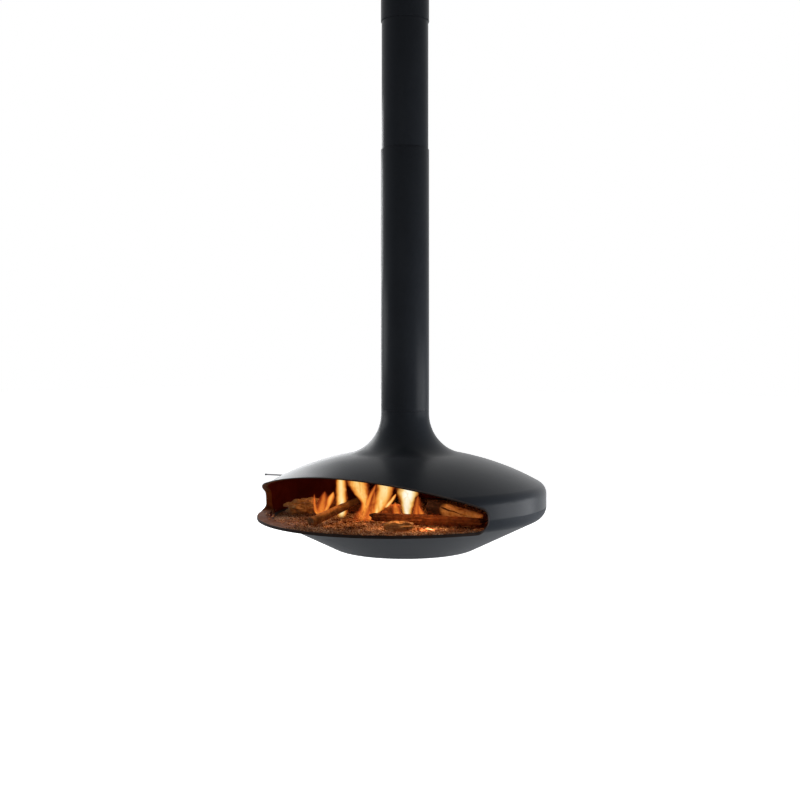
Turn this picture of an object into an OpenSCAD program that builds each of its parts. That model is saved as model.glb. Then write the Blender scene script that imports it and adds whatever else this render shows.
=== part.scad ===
// Suspended open fireplace: a spun steel hearth that hangs from the ceiling on its own flue
// and turns right round on a ball bearing in the ceiling fixing.
// Frame: origin on the ceiling plane at the flue axis, +Z up, the mouth of the hearth faces -Y.

/* [Ceiling fixing] */
// Diameter of the round plate that is bolted to the ceiling
plate_d = 440; // [430:1:446]
// Thickness of the ceiling plate
plate_t = 8; // [6:0.5:12]
// Bolt circle of the ceiling anchors
anchor_pcd = 380; // [370:1:390]
// Diameter of each anchor hole
anchor_hole_d = 14; // [10:0.5:16]
// Number of hanger studs that carry the bearing
stud_count = 4; // [3:1:6]
// Diameter of a hanger stud
stud_d = 12; // [8:1:14]
// Circle on which the hanger studs stand
stud_pcd = 336; // [328:1:340]
// Thickness of the ring that the studs carry
support_t = 8; // [6:0.5:12]
// Outer diameter of the support ring
support_d = 372; // [364:1:380]
// Outer diameter of the ceiling rose
rose_d = 474; // [464:1:520]
// Depth of the ceiling rose below the ceiling
rose_h = 104; // [100:1:118]
// Thickness of the rose and sleeve sheet
thin_sheet_t = 2; // [1.5:0.1:2.2]
// Height of the neck that clamps the rose to the sleeve
rose_neck_h = 18; // [12:1:25]
// Distance from the ceiling to the lower edge of the fixed sleeve
sleeve_drop = 258; // [200:1:320]

/* [Pivot bearing] */
// Free height between the ceiling plate and the top of the turning flue
flue_top_gap = 20; // [14:1:24]
// Thickness of the flange that the turning flue hangs by
flange_t = 8; // [6:0.5:10]
// Outer diameter of the pivot flange
flange_d = 296; // [288:1:304]
// Mean diameter of the ball track
race_mid_d = 260; // [254:1:266]
// Radial width of a race ring
race_w = 24; // [22:0.5:28]
// Thickness of a race ring
race_t = 6; // [5:0.5:8]
// Diameter of a bearing ball
ball_d = 10; // [9:0.5:11]
// Number of bearing balls
ball_count = 24; // [16:2:30]

/* [Flue] */
// Outer diameter of the lower flue, the collar and the fixed sleeve
flue_d = 215; // [205:1:225]
// Wall of the flue tubes
flue_wall = 3; // [2.5:0.25:4]
// Slip clearance between nested tubes, per side
slip_gap = 0.5; // [0.3:0.1:0.8]
// Height of the visible step above the rim, where the upper tube enters the lower one
step_height = 1572; // [1400:1:1700]
// Length of upper flue hidden in the lower one
flue_overlap = 70; // [50:1:110]
// Outer diameter of the smoke outlet spigot
spigot_d = 180; // [172:1:184]
// Length of the spigot above the ceiling plane
spigot_rise = 60; // [40:1:100]
// Length of the spigot below the ceiling plane
spigot_drop = 120; // [110:1:150]

/* [Hearth body] */
// Height from the ceiling down to the lower edge of the rim band
rim_drop = 2400; // [2250:1:2800]
// Diameter of the hearth at its rim band
rim_d = 1250; // [1220:2:1290]
// Height of the straight rim band
band_h = 52.6; // [45:0.2:60]
// Thickness of the hood and pan sheet
shell_t = 4; // [3:0.25:5]
// Height of the collar joint above the rim
collar_height = 414.5; // [405:0.5:430]
// Straight length of the collar above the flare
collar_straight = 15.5; // [10:0.5:22]
// Radius of the flare between collar and dome
flare_r = 180; // [165:1:190]
// Slope of the dome where it leaves the flare
dome_slope_in = 11.1; // [9:0.1:14]
// Slope of the dome where it meets the rim
dome_slope_out = 29.2; // [26:0.1:32]
// Bend radius between dome and rim band
hood_bend_r = 51; // [42:1:58]
// Bend radius between rim band and pan
pan_bend_r = 61; // [55:1:66]
// Slope of the pan's side
pan_slope = 26.2; // [25:0.1:28]
// Radius of the flat bottom before its fillet
pan_floor_r = 300; // [260:1:340]
// Fillet between the pan's side and its flat bottom
pan_fillet_r = 90; // [40:1:140]

/* [Mouth] */
// Half of the angle that the mouth takes out of the rim
mouth_half_angle = 66.2; // [62:0.1:68]
// Height of the mouth's upper edge at its middle, above the rim
mouth_top = 150.5; // [143:0.5:156]
// How far the upper edge falls from its middle to the ends
mouth_fall = 115; // [110:0.5:118]
// Share of that fall that comes late, near the ends
mouth_late_fall = 0.31; // [0.2:0.01:0.4]
// Depth of the mouth's lower edge below the rim
mouth_bottom = 40.5; // [38:0.5:43]
// Length of edge that the rounding of an upper corner takes
mouth_top_corner = 27; // [22:1:29]
// Length of edge that the rounding of a lower corner takes
mouth_low_corner = 38; // [33:1:40]
// Sheet of the flared lip
lip_t = 4; // [3:0.25:5]
// Height of the turned edge along the ledge
lip_hem = 12; // [9:0.5:13]
// Reach of the lip beyond the hood at the top and the ends
lip_reach = 20; // [14:1:24]
// Reach of the lip at the bottom corners, where it widens to an ash ledge
ledge_reach = 50; // [42:1:58]
// Further reach of the ledge at its middle
ledge_bulge = 20; // [12:1:26]
// Share of the lip's direction that points out from the axis, the rest points forward
lip_splay = 0.3; // [0.2:0.01:0.5]

/* [Damper] */
// Depth of the damper spindle below the collar joint
damper_drop = 14.5; // [8.5:1:20.5]
// Diameter of the damper disc
damper_d = 190; // [180:1:191]
// Thickness of the damper disc
damper_t = 3; // [2:0.25:4]
// Diameter of the damper spindle
spindle_d = 10; // [8:0.5:12]
// Running clearance of the spindle in its bushes, per side
spindle_gap = 0.05; // [0.02:0.01:0.1]
// Length of the damper lever up to its eye
lever_l = 230; // [180:1:235]
// Diameter of the lever rod
lever_d = 7; // [6:0.5:8]
// Inner radius of the lever's eye
eye_r = 15; // [11:0.5:17]

/* [Turning handle] */
// Diameter of the handle rod
handle_d = 6; // [5:0.5:8]
// Height above the rim at which the rod leaves the hood
handle_z = 114; // [106:1:120]
// How far the tip of the rod stands out beyond the rim
handle_reach = 18; // [10:1:25]
// Direction of the handle, measured from the middle of the mouth
handle_angle = 66; // [60:1:80]
// Diameter of the ball on the tip
handle_ball_d = 9; // [8:0.5:14]

/* [Hearth bed] */
// Depth of the floor plate's underside below the rim
floor_depth = 105; // [98:1:115]
// Thickness of the floor plate
floor_t = 8; // [6:0.5:10]
// Depth of the ember bed's edge below the rim
bed_depth = 54; // [50:0.5:60]
// Height of the bed's crown above its edge
bed_crown = 16; // [8:1:20]
// Radius of a full-sized log
log_r = 40; // [34:1:42]

/* [Hidden] */
$fn = 96;

STEEL = [0.17, 0.18, 0.19];
DARK = [0.12, 0.12, 0.13];
BRIGHT = [0.6, 0.61, 0.63];
ZINC = [0.7, 0.71, 0.72];
WOOD = [0.35, 0.23, 0.13];
OCHRE = [0.5, 0.33, 0.15];
CUT = 1; // how far a cutter runs past what it cuts

// ---- heights in the ceiling fixing, downwards from the ceiling plane ----
flue_r = flue_d / 2;
flue_in_r = flue_r - flue_wall;
upper_r = flue_in_r - slip_gap;
upper_in_r = upper_r - flue_wall;
sleeve_in_r = flue_r - thin_sheet_t;
flue_top_z = -plate_t - flue_top_gap;
anchor_count = 4;
flange_lip = 2;
flange_z = flue_top_z - flange_lip - flange_t;
race_gap = 0.4 * ball_d;
track_clearance = 0.05;
upper_race_z = flange_z - race_t;
ball_z = upper_race_z - race_gap / 2;
lower_race_top = upper_race_z - race_gap;
support_top = lower_race_top - race_t;
support_z = support_top - support_t;
flue_pass_gap = 3;
support_in_r = flue_r + flue_pass_gap;
cage_side_gap = 0.8;
cage_t = race_gap - 2 * cage_side_gap;
cage_margin = 2;
cage_hole_gap = 0.15;
nut_h = 10;
nut_across = 1.6 * stud_d;
stud_tail = 8;
stud_z = support_z - nut_h - stud_tail;
stud_hole_gap = 0.75;
sleeve_flange_t = 3;
sleeve_flange_w = 38;
sleeve_screw_d = 6;
sleeve_screw_count = 6;
sleeve_screw_r = flue_r + 25;
sleeve_screw_bite = 5;
sleeve_hole_ease = 0.3;
sleeve_head_d = 10.2;
sleeve_head_t = 4;
blind_rest = 1.5;
rose_screw_count = 3;
rose_screw_phase = 30;
rose_corner_r = 24;
rose_gap = 0.5;
rose_neck_t = 5;
set_screw_d = 5;
spigot_bead = 3;
seal_h = 12;
seal_run_gap = 0.3;
seal_ring_t = 3;
seal_ring_w = 7;
seal_z = -spigot_drop + 2 * seal_ring_t + seal_h;

// ---- hearth body, heights above the rim ----
rim_r = rim_d / 2;
flare_z = collar_height - collar_straight;
flare_turn = 90 - dome_slope_in;
flare_end = [flue_r + flare_r * (1 - cos(flare_turn)), flare_z - flare_r * sin(flare_turn)];
bend_centre = [rim_r - hood_bend_r, band_h];
bend_start = bend_centre + hood_bend_r * [sin(dome_slope_out), cos(dome_slope_out)];
pan_bend_end = [rim_r - pan_bend_r + pan_bend_r * sin(pan_slope), -pan_bend_r * cos(pan_slope)];
pan_corner_z = pan_bend_end[1] - (pan_bend_end[0] - pan_floor_r) * tan(pan_slope);
fillet_back = pan_fillet_r * tan(pan_slope / 2);
fillet_centre = [pan_floor_r - fillet_back, pan_corner_z + pan_fillet_r];

// Points along an arc about c, from angle a0 to a1 in n steps
function arc(c, r, a0, a1, n) =
    [for (i = [0:n]) let (a = a0 + (a1 - a0) * i / n) c + r * [cos(a), sin(a)]];

// Smooth curve from p0 to p1 that leaves and arrives along the given downward slopes
function dome_curve(p0, p1, s0, s1, n) =
    let (chord = norm(p1 - p0), t0 = chord * [cos(s0), -sin(s0)], t1 = chord * [cos(s1), -sin(s1)])
    [for (i = [1:n - 1]) let (u = i / n)
        (2 * u^3 - 3 * u^2 + 1) * p0 + (u^3 - 2 * u^2 + u) * t0
        + (3 * u^2 - 2 * u^3) * p1 + (u^3 - u^2) * t1];

// A path moved sideways by d, to its right when walked along
function beside(path, d) =
    [for (i = [0:len(path) - 1])
        let (a = path[max(0, i - 1)], b = path[min(len(path) - 1, i + 1)], t = (b - a) / norm(b - a))
        path[i] + d * [t[1], -t[0]]];

function reversed(path) = [for (i = [len(path) - 1:-1:0]) path[i]];

hood_outer = concat(
    [[flue_r, collar_height]],
    arc([flue_r + flare_r, flare_z], flare_r, 180, 180 + flare_turn, 14),
    dome_curve(flare_end, bend_start, dome_slope_in, dome_slope_out, 14),
    arc(bend_centre, hood_bend_r, 90 - dome_slope_out, 0, 8),
    [[rim_r, 0]]);
hood_inner = beside(hood_outer, shell_t);
function pan_skin(d) = concat(
    arc([rim_r - pan_bend_r, 0], pan_bend_r - d, 0, pan_slope - 90, 9),
    arc(fillet_centre, pan_fillet_r - d, pan_slope - 90, -90, 4));
pan_outer = pan_skin(0);
pan_inner = pan_skin(shell_t);
pan_bottom_z = pan_corner_z;
function by_height(path) = [for (p = path) [p[1], p[0]]];
body_heights = concat(by_height(reversed(pan_outer)), by_height(reversed(hood_outer)));
function body_r(z) = lookup(z, body_heights);
function hood_in_r(z) = lookup(z, by_height(reversed(hood_inner)));
function pan_in_r(z) = lookup(z, by_height(reversed(pan_inner)));

// ---- mouth: drawn on the hood as if it were unrolled, [distance along the rim, height] ----
mouth_w = rim_r * mouth_half_angle * PI / 180;
mouth_early_fall = 1 - mouth_late_fall;
function mouth_top_z(u) = mouth_top - mouth_fall * (mouth_early_fall * u^2 + mouth_late_fall * u^4);
function mouth_top_slope(u) = -mouth_fall * (2 * mouth_early_fall * u + 4 * mouth_late_fall * u^3) / mouth_w;
corner_u = 1 - mouth_top_corner / mouth_w;
top_corner_z = mouth_top_z(corner_u) + mouth_top_slope(corner_u) * mouth_top_corner;
top_corner = [[mouth_w - mouth_top_corner, mouth_top_z(corner_u)], [mouth_w, top_corner_z],
    [mouth_w, top_corner_z - mouth_top_corner]];
low_corner = [[mouth_w, mouth_low_corner - mouth_bottom], [mouth_w, -mouth_bottom],
    [mouth_w - mouth_low_corner, -mouth_bottom]];
function bend(c, t) = (1 - t)^2 * c[0] + 2 * t * (1 - t) * c[1] + t^2 * c[2];
top_steps = 20;
corner_steps = 8;
low_steps = 16;
ledge_onset = 1.2;
ledge_ease = 1.3;
// Each station: [along, height, share of the way from lip to ledge]
mouth_half = concat(
    [for (i = [0:top_steps - 1]) let (u = corner_u * i / top_steps) [mouth_w * u, mouth_top_z(u), 0]],
    [for (i = [0:corner_steps]) let (p = bend(top_corner, i / corner_steps)) [p[0], p[1], 0]],
    [for (i = [0:corner_steps]) let (p = bend(low_corner, i / corner_steps))
        [p[0], p[1], min(1, ledge_onset * i / corner_steps)^ledge_ease]],
    [for (i = [1:low_steps]) [low_corner[2][0] * (1 - i / low_steps), -mouth_bottom, 1]]);
mouth_loop = concat(mouth_half,
    [for (i = [len(mouth_half) - 2:-1:1]) let (m = mouth_half[i]) [-m[0], m[1], m[2]]]);
stations = len(mouth_loop);
// Outward direction in the unrolled drawing at station i
function mouth_normal(i) =
    let (a = mouth_loop[(i + stations - 1) % stations], b = mouth_loop[(i + 1) % stations],
        d = [b[0] - a[0], b[1] - a[1]])
    [-d[1], d[0]] / norm(d);
function rim_angle(along) = along / rim_r * 180 / PI;
// Front view of the outline, grown outwards by g in the way the lip's sheet stands on it
function mouth_front(g) = [for (i = [0:stations - 1])
    let (n = mouth_normal(i), a = rim_angle(mouth_loop[i][0]), z = mouth_loop[i][1])
    [body_r(z) * sin(a) + g * n[0] * cos(a), z + g * n[1]]];
function swell(a, b, s) = a + (b - a) * (1 - cos(180 * s)) / 2;
function reach_at(m) =
    swell(lip_reach, ledge_reach + ledge_bulge * cos(90 * min(1, abs(m[0]) / mouth_w))^2, m[2]);
lip_bead = 0.5;
lip_tuck = 10;
lip_fit_gap = 0.2;
mouth_cut_from = rim_r / 4;
mouth_cut_to = rim_r + ledge_reach;

// ---- damper, handle and bed ----
collar_gap = 0.3;
coupling_r = flue_r - shell_t - collar_gap;
damper_height = collar_height - damper_drop;
coupling_below = 45;
coupling_above = 50;
coupling_screw_share = 0.6;
bush_wall = 2;
bush_d = spindle_d + 2 * bush_wall;
bush_gap = 0.1;
damper_side_gap = 1;
bush_in_r = damper_d / 2 + damper_side_gap;
bush_l = coupling_r - bush_in_r;
spindle_end_gap = 0.5;
plate_screw_x = 45;
plate_screw_d = 4;
plate_head_t = 3;
eye_wire_d = 7;
// The lever leans as far as it can and still clear the flare by this gap
lever_flare_gap = 15.1;
lever_sight = flare_r + shell_t + lever_d / 2 + lever_flare_gap;
flare_from_spindle = [flue_r + flare_r, flare_z - damper_height];
lever_tilt = atan2(flare_from_spindle[1], flare_from_spindle[0]) + acos(lever_sight / norm(flare_from_spindle));
handle_rise = 1.5;
handle_root_r = body_r(handle_z);
handle_l = rim_r + handle_reach - handle_root_r;
handle_nut_h = 5;
handle_nut_gap = 0.5;
handle_nut_back = handle_root_r - hood_in_r(handle_z + handle_d) + handle_nut_gap + handle_nut_h;
handle_end = 3;
handle_tail = handle_nut_back + handle_end;
board_pan_gap = 1;
board_edge_gap = 2;
floor_edge_gap = 3;
bed_edge_gap = 1;
bed_r = pan_in_r(-bed_depth) - bed_edge_gap;
floor_z = -floor_depth;
rest_gap = 0.3;
bed_steps = 10;
function bed_z(p) = -bed_depth + bed_crown * cos(90 * min(1, norm([p[0], p[1]]) / bed_r));

// ---- placing ----
module at_rim() translate([0, 0, -rim_drop]) children();
module ring(r_out, r_in, h) difference() {
    cylinder(r = r_out, h = h);
    translate([0, 0, -CUT]) cylinder(r = r_in, h = h + 2 * CUT);
}
module around(count, r, phase = 0)
    for (i = [0:count - 1]) rotate([0, 0, phase + 360 * i / count]) translate([r, 0, 0]) children();

// ---- ceiling fixing ----
module ceiling_plate() color(ZINC) difference() {
    translate([0, 0, -plate_t]) ring(plate_d / 2, spigot_d / 2, plate_t);
    around(anchor_count, anchor_pcd / 2)
        translate([0, 0, -plate_t - CUT]) cylinder(d = anchor_hole_d, h = plate_t + 2 * CUT);
}

module smoke_spigot() color(ZINC) difference() {
    union() {
        translate([0, 0, -spigot_drop]) cylinder(d = spigot_d, h = spigot_drop + spigot_rise);
        cylinder(r = spigot_d / 2 + spigot_bead, h = spigot_bead);
    }
    translate([0, 0, -spigot_drop - CUT])
        cylinder(r = spigot_d / 2 - thin_sheet_t, h = spigot_drop + spigot_rise + 2 * CUT);
}

module seal_rings() color(ZINC)
    for (z = [seal_z, seal_z - seal_h - seal_ring_t])
        translate([0, 0, z]) ring(spigot_d / 2 + seal_ring_w, spigot_d / 2, seal_ring_t);

module rope_seal() color([0.8, 0.78, 0.72])
    translate([0, 0, seal_z - seal_h]) ring(upper_in_r - seal_run_gap, spigot_d / 2, seal_h);

module hanger_studs() color(ZINC)
    around(stud_count, stud_pcd / 2, 180 / stud_count)
        translate([0, 0, stud_z]) cylinder(d = stud_d, h = -plate_t - stud_z);

module hanger_nut() translate([0, 0, -nut_h]) difference() {
    cylinder(d = nut_across * 2 / sqrt(3), h = nut_h, $fn = 6);
    translate([0, 0, -CUT]) cylinder(d = stud_d, h = nut_h + 2 * CUT);
}

module hanger_nuts() color(BRIGHT)
    around(stud_count, stud_pcd / 2, 180 / stud_count) {
        translate([0, 0, support_z]) hanger_nut();
        translate([0, 0, support_top + nut_h]) hanger_nut();
    }

module support_ring() color(ZINC) difference() {
    translate([0, 0, support_z]) ring(support_d / 2, support_in_r, support_t);
    around(stud_count, stud_pcd / 2, 180 / stud_count)
        translate([0, 0, support_z - CUT]) cylinder(d = stud_d + 2 * stud_hole_gap, h = support_t + 2 * CUT);
    around(sleeve_screw_count, sleeve_screw_r)
        translate([0, 0, support_z - CUT]) cylinder(d = sleeve_screw_d, h = CUT + support_t - blind_rest);
}

module race() difference() {
    ring(race_mid_d / 2 + race_w / 2, race_mid_d / 2 - race_w / 2, race_t);
    translate([0, 0, -race_gap / 2]) rotate_extrude()
        translate([race_mid_d / 2, 0]) circle(r = ball_d / 2 + track_clearance);
}

module upper_race() color(BRIGHT) translate([0, 0, upper_race_z]) race();

module lower_race() color(BRIGHT) translate([0, 0, lower_race_top]) mirror([0, 0, 1]) race();

module ball_cage() color([0.75, 0.6, 0.3]) difference() {
    translate([0, 0, ball_z - cage_t / 2])
        ring(race_mid_d / 2 + race_w / 2 - cage_margin, race_mid_d / 2 - race_w / 2 + cage_margin, cage_t);
    around(ball_count, race_mid_d / 2)
        translate([0, 0, ball_z - cage_t]) cylinder(d = ball_d + 2 * cage_hole_gap, h = 2 * cage_t);
}

module bearing_balls() color(BRIGHT)
    around(ball_count, race_mid_d / 2) translate([0, 0, ball_z]) sphere(d = ball_d);

module pivot_flange() color(ZINC)
    translate([0, 0, flange_z]) ring(flange_d / 2, upper_r, flange_t);

module ceiling_sleeve() color(STEEL) difference() {
    union() {
        translate([0, 0, -sleeve_drop]) ring(flue_r, sleeve_in_r, sleeve_drop + support_z);
        translate([0, 0, support_z - sleeve_flange_t])
            ring(flue_r + sleeve_flange_w, sleeve_in_r, sleeve_flange_t);
    }
    around(sleeve_screw_count, sleeve_screw_r)
        translate([0, 0, support_z - sleeve_flange_t - CUT])
            cylinder(d = sleeve_screw_d + 2 * sleeve_hole_ease, h = sleeve_flange_t + 2 * CUT);
}

module sleeve_screws() color(BRIGHT)
    around(sleeve_screw_count, sleeve_screw_r) translate([0, 0, support_z - sleeve_flange_t]) {
        cylinder(d = sleeve_screw_d, h = sleeve_flange_t + sleeve_screw_bite);
        translate([0, 0, -sleeve_head_t]) cylinder(d = sleeve_head_d, h = sleeve_head_t);
    }

rose_outer = concat(
    [[rose_d / 2, 0]],
    arc([rose_d / 2 - rose_corner_r, rose_neck_h + rose_corner_r - rose_h], rose_corner_r, 0, -90, 8),
    [[flue_r + rose_gap + rose_neck_t, rose_neck_h - rose_h]]);
module ceiling_rose() color(STEEL) difference() {
    rotate_extrude() polygon(concat(rose_outer,
        [[flue_r + rose_gap + rose_neck_t, -rose_h],
        [flue_r + rose_gap, -rose_h],
        [flue_r + rose_gap, rose_neck_h - rose_h + thin_sheet_t]],
        [for (i = [len(rose_outer) - 2:-1:1]) beside(rose_outer, thin_sheet_t)[i]],
        [[rose_d / 2 - thin_sheet_t, 0]]));
    around(rose_screw_count, flue_r, rose_screw_phase) translate([0, 0, -rose_h + rose_neck_h / 2])
        rotate([0, 90, 0]) cylinder(d = set_screw_d, h = rose_gap + rose_neck_t + CUT);
}

module rose_screws() color(DARK)
    around(rose_screw_count, flue_r, rose_screw_phase) translate([0, 0, -rose_h + rose_neck_h / 2])
        rotate([0, 90, 0]) cylinder(d = set_screw_d, h = rose_gap + rose_neck_t);

// ---- turning flue ----
module radial_holes(z, d, r_from, r_to, phase)
    around(4, r_from, phase) translate([0, 0, z]) rotate([0, 90, 0]) cylinder(d = d, h = r_to - r_from);

flue_screw_d = 5;
flue_screw_head_t = 2;
flue_screw_head_d = flue_screw_d + 2 * flue_screw_head_t;
seat_start = 1;
flue_screw_l = 9;
flue_screw_phase = 11;
step_z = step_height - rim_drop;
flue_screw_z = step_z - flue_overlap / 2;
coupling_screw_z = collar_height - rim_drop + coupling_screw_share * coupling_above;
hole_ease = 0.2;

module screw_seat(z) around(4, flue_r + seat_start, flue_screw_phase) translate([0, 0, z]) rotate([0, -90, 0])
    cylinder(d1 = flue_screw_head_d + 2 * seat_start, d2 = flue_screw_d, h = seat_start + flue_screw_head_t);

module flush_screws(z) around(4, flue_r, flue_screw_phase) translate([0, 0, z]) rotate([0, -90, 0]) {
    cylinder(d1 = flue_screw_head_d, d2 = flue_screw_d, h = flue_screw_head_t);
    cylinder(d = flue_screw_d, h = flue_screw_l);
}

module upper_flue() color(STEEL) difference() {
    translate([0, 0, step_z - flue_overlap]) ring(upper_r, upper_in_r, flue_top_z - step_z + flue_overlap);
    radial_holes(flue_screw_z, flue_screw_d + hole_ease, upper_in_r - CUT, upper_r + CUT, flue_screw_phase);
}

module lower_flue() color(STEEL) difference() {
    translate([0, 0, collar_height - rim_drop]) ring(flue_r, flue_in_r, step_z - collar_height + rim_drop);
    for (z = [flue_screw_z, coupling_screw_z]) {
        radial_holes(z, flue_screw_d + hole_ease, flue_in_r - CUT, flue_r + CUT, flue_screw_phase);
        screw_seat(z);
    }
}

module flue_screws() color(STEEL) flush_screws(flue_screw_z);

module coupling_screws() color(STEEL) flush_screws(coupling_screw_z);

module flue_coupling() color(DARK) difference() {
    at_rim() translate([0, 0, damper_height - coupling_below])
        ring(coupling_r, coupling_r - flue_wall,
            collar_height + coupling_above - damper_height + coupling_below);
    radial_holes(coupling_screw_z, flue_screw_d + hole_ease, coupling_r - flue_wall - CUT, coupling_r + CUT,
        flue_screw_phase);
    at_rim() translate([-flue_r, 0, damper_height]) rotate([0, 90, 0])
        cylinder(d = bush_d + 2 * bush_gap, h = flue_d);
}

// ---- hearth body ----
module mouth_cutter() translate([0, -mouth_cut_from, 0]) rotate([90, 0, 0])
    linear_extrude(mouth_cut_to - mouth_cut_from) polygon(mouth_front(lip_t + lip_fit_gap));

module along_handle() rotate([0, 0, -90 - handle_angle])
    translate([handle_root_r, 0, handle_z]) rotate([0, 90 - handle_rise, 0]) children();

module hood_shell() color(STEEL) at_rim() difference() {
    rotate_extrude() polygon(concat(hood_outer, reversed(hood_inner)));
    mouth_cutter();
    along_handle() translate([0, 0, -handle_tail]) cylinder(d = handle_d + hole_ease, h = 2 * handle_tail);
}

module lower_pan() color(STEEL) at_rim() difference() {
    rotate_extrude() polygon(concat(pan_outer, [[0, pan_bottom_z], [0, pan_bottom_z + shell_t]],
        reversed(pan_inner)));
    mouth_cutter();
}

// Section of the lip at one station: [distance along the lip's direction, distance out of the mouth]
function lip_section(reach, hem) = [[-lip_tuck, 0], [reach, 0], [reach, hem],
    [reach - lip_t, hem], [reach - lip_t, lip_t], [-lip_tuck, lip_t]];
lip_points = [for (i = [0:stations - 1])
    let (m = mouth_loop[i], n = mouth_normal(i), a = rim_angle(m[0]), r = body_r(m[1]),
        base = [r * sin(a), -r * cos(a), m[1]],
        splayed = [lip_splay * sin(a), -lip_splay * cos(a) - (1 - lip_splay), 0],
        forward = splayed / norm(splayed), outward = [n[0] * cos(a), n[0] * sin(a), n[1]])
    for (q = lip_section(reach_at(m), swell(lip_t + lip_bead, lip_hem, m[2])))
        base + q[0] * forward + q[1] * outward];
lip_sides = 6;
lip_faces = [for (i = [0:stations - 1]) for (j = [0:lip_sides - 1])
    let (a = i * lip_sides, b = ((i + 1) % stations) * lip_sides, k = (j + 1) % lip_sides)
    each [[a + j, b + j, b + k], [a + j, b + k, a + k]]];
module mouth_lip() color(STEEL) at_rim() polyhedron(points = lip_points, faces = lip_faces);

module handle_rod() color(BRIGHT) at_rim() along_handle()
    translate([0, 0, -handle_tail]) cylinder(d = handle_d, h = handle_l + handle_tail);

module handle_ball() color(DARK) at_rim() along_handle() difference() {
    translate([0, 0, handle_l]) sphere(d = handle_ball_d);
    cylinder(d = handle_d, h = handle_l);
}

module handle_nut() color(BRIGHT) at_rim() along_handle() translate([0, 0, -handle_nut_back]) difference() {
    cylinder(d = 2 * handle_d, h = handle_nut_h, $fn = 6);
    translate([0, 0, -CUT]) cylinder(d = handle_d, h = handle_nut_h + 2 * CUT);
}

// ---- inside the pan ----
board_under = [for (p = reversed(pan_skin(shell_t + board_pan_gap))) if (p[1] < floor_z) p];
module insulation_block() color([0.72, 0.68, 0.58]) at_rim() rotate_extrude() polygon(concat(
    [[0, floor_z], [0, pan_bottom_z + shell_t], [fillet_centre[0], pan_bottom_z + shell_t]],
    board_under, [[pan_in_r(floor_z) - board_edge_gap, floor_z]]));

module floor_plate() color(DARK) at_rim()
    translate([0, 0, floor_z]) cylinder(r = pan_in_r(floor_z) - floor_edge_gap, h = floor_t);

floor_top_z = floor_z + floor_t;
module ember_bed() color([0.3, 0.16, 0.1]) at_rim() rotate_extrude() polygon(concat(
    [[0, floor_top_z], [pan_in_r(floor_top_z) - bed_edge_gap, floor_top_z], [bed_r, -bed_depth]],
    [for (i = [bed_steps - 1:-1:0]) let (r = bed_r * i / bed_steps) [r, bed_z([r, 0])]]));

log_sides = 9;
log_rings = 7;
log_bow = log_r / 10;
log_twist = 10;
log_ridge = 0.10;
log_dent = 0.06;
// Skin of a rough log between two points: the radius swells and dips along and round it
function log_skin(p0, p1, r0, r1, seed) =
    let (d = p1 - p0, u = d / norm(d), s0 = cross([0, 0, 1], u), s = s0 / norm(s0), v = cross(u, s))
    [for (i = [0:log_rings - 1]) let (t = i / (log_rings - 1), bow = log_bow * sin(180 * t + seed))
        for (j = [0:log_sides - 1])
            let (a = 360 * j / log_sides + log_twist * sin(seed * 7 + 90 * i),
                rough = 1 + log_ridge * sin(3 * a + seed * 13) + log_dent * sin(2 * a + 97 * i + seed),
                r = (r0 + (r1 - r0) * t) * rough)
            p0 + t * d + (r * cos(a) + bow) * s + r * sin(a) * v];
function tube_faces(rings, sides) = concat(
    [[for (j = [0:sides - 1]) j]],
    [for (i = [0:rings - 2]) for (j = [0:sides - 1])
        let (a = i * sides, b = a + sides, k = (j + 1) % sides)
        each [[a + j, b + j, b + k], [a + j, b + k, a + k]]],
    [[for (j = [sides - 1:-1:0]) (rings - 1) * sides + j]]);
// A log on the bed: its ends in plan in shares of the bed's radius, how far the second end is tilted up
// and the radii of the ends in shares of a full-sized log's radius
module rough_log(end_a, end_b, tilt, r0, r1, seed) {
    skin = log_skin([end_a[0] * bed_r, end_a[1] * bed_r, 0],
        [end_b[0] * bed_r, end_b[1] * bed_r, tilt * log_r], r0 * log_r, r1 * log_r, seed);
    lift = max([for (p = skin) bed_z(p) - p[2]]) + rest_gap;
    at_rim() translate([0, 0, lift]) polyhedron(points = skin, faces = tube_faces(log_rings, log_sides));
}

module log_front_stick() color(WOOD) rough_log([-0.206, -0.89], [-0.2, -0.26], 1.55, 0.48, 0.4, 1);
module log_left_chunk() color(OCHRE) rough_log([-0.66, -0.585], [-0.49, -0.485], 0.4, 0.95, 0.75, 2);
module log_right_round() color(WOOD) rough_log([0.35, -0.175], [0.83, -0.22], -0.6, 1, 0.56, 3);
module log_long_dark() color(DARK) rough_log([0.093, -0.55], [0.873, -0.335], 0, 0.58, 0.42, 4);
module log_back() color(WOOD) rough_log([-0.5, -0.33], [-0.02, -0.14], 0, 0.66, 0.6, 5);
module log_centre_split() color(WOOD) rough_log([0.383, -0.803], [0.523, -0.708], 0, 0.6, 0.52, 6);
module log_charred_end() color(DARK) rough_log([0.06, -0.41], [0.15, -0.3], 0, 0.8, 0.7, 7);

// ---- damper ----
module at_spindle() at_rim() translate([0, 0, damper_height]) children();

module spindle_bushes() color([0.7, 0.5, 0.25]) at_spindle() for (side = [0, 1]) mirror([side, 0, 0])
    translate([bush_in_r, 0, 0]) rotate([0, 90, 0]) difference() {
        cylinder(d = bush_d, h = bush_l);
        translate([0, 0, -CUT]) cylinder(d = spindle_d + 2 * spindle_gap, h = bush_l + 2 * CUT);
    }

module damper_spindle() color(BRIGHT) at_spindle() difference() {
    rotate([0, 90, 0]) cylinder(d = spindle_d, h = 2 * (coupling_r - spindle_end_gap), center = true);
    for (x = [-plate_screw_x, plate_screw_x]) translate([x, -spindle_d, 0]) rotate([-90, 0, 0])
        cylinder(d = plate_screw_d, h = 2 * spindle_d);
}

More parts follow.
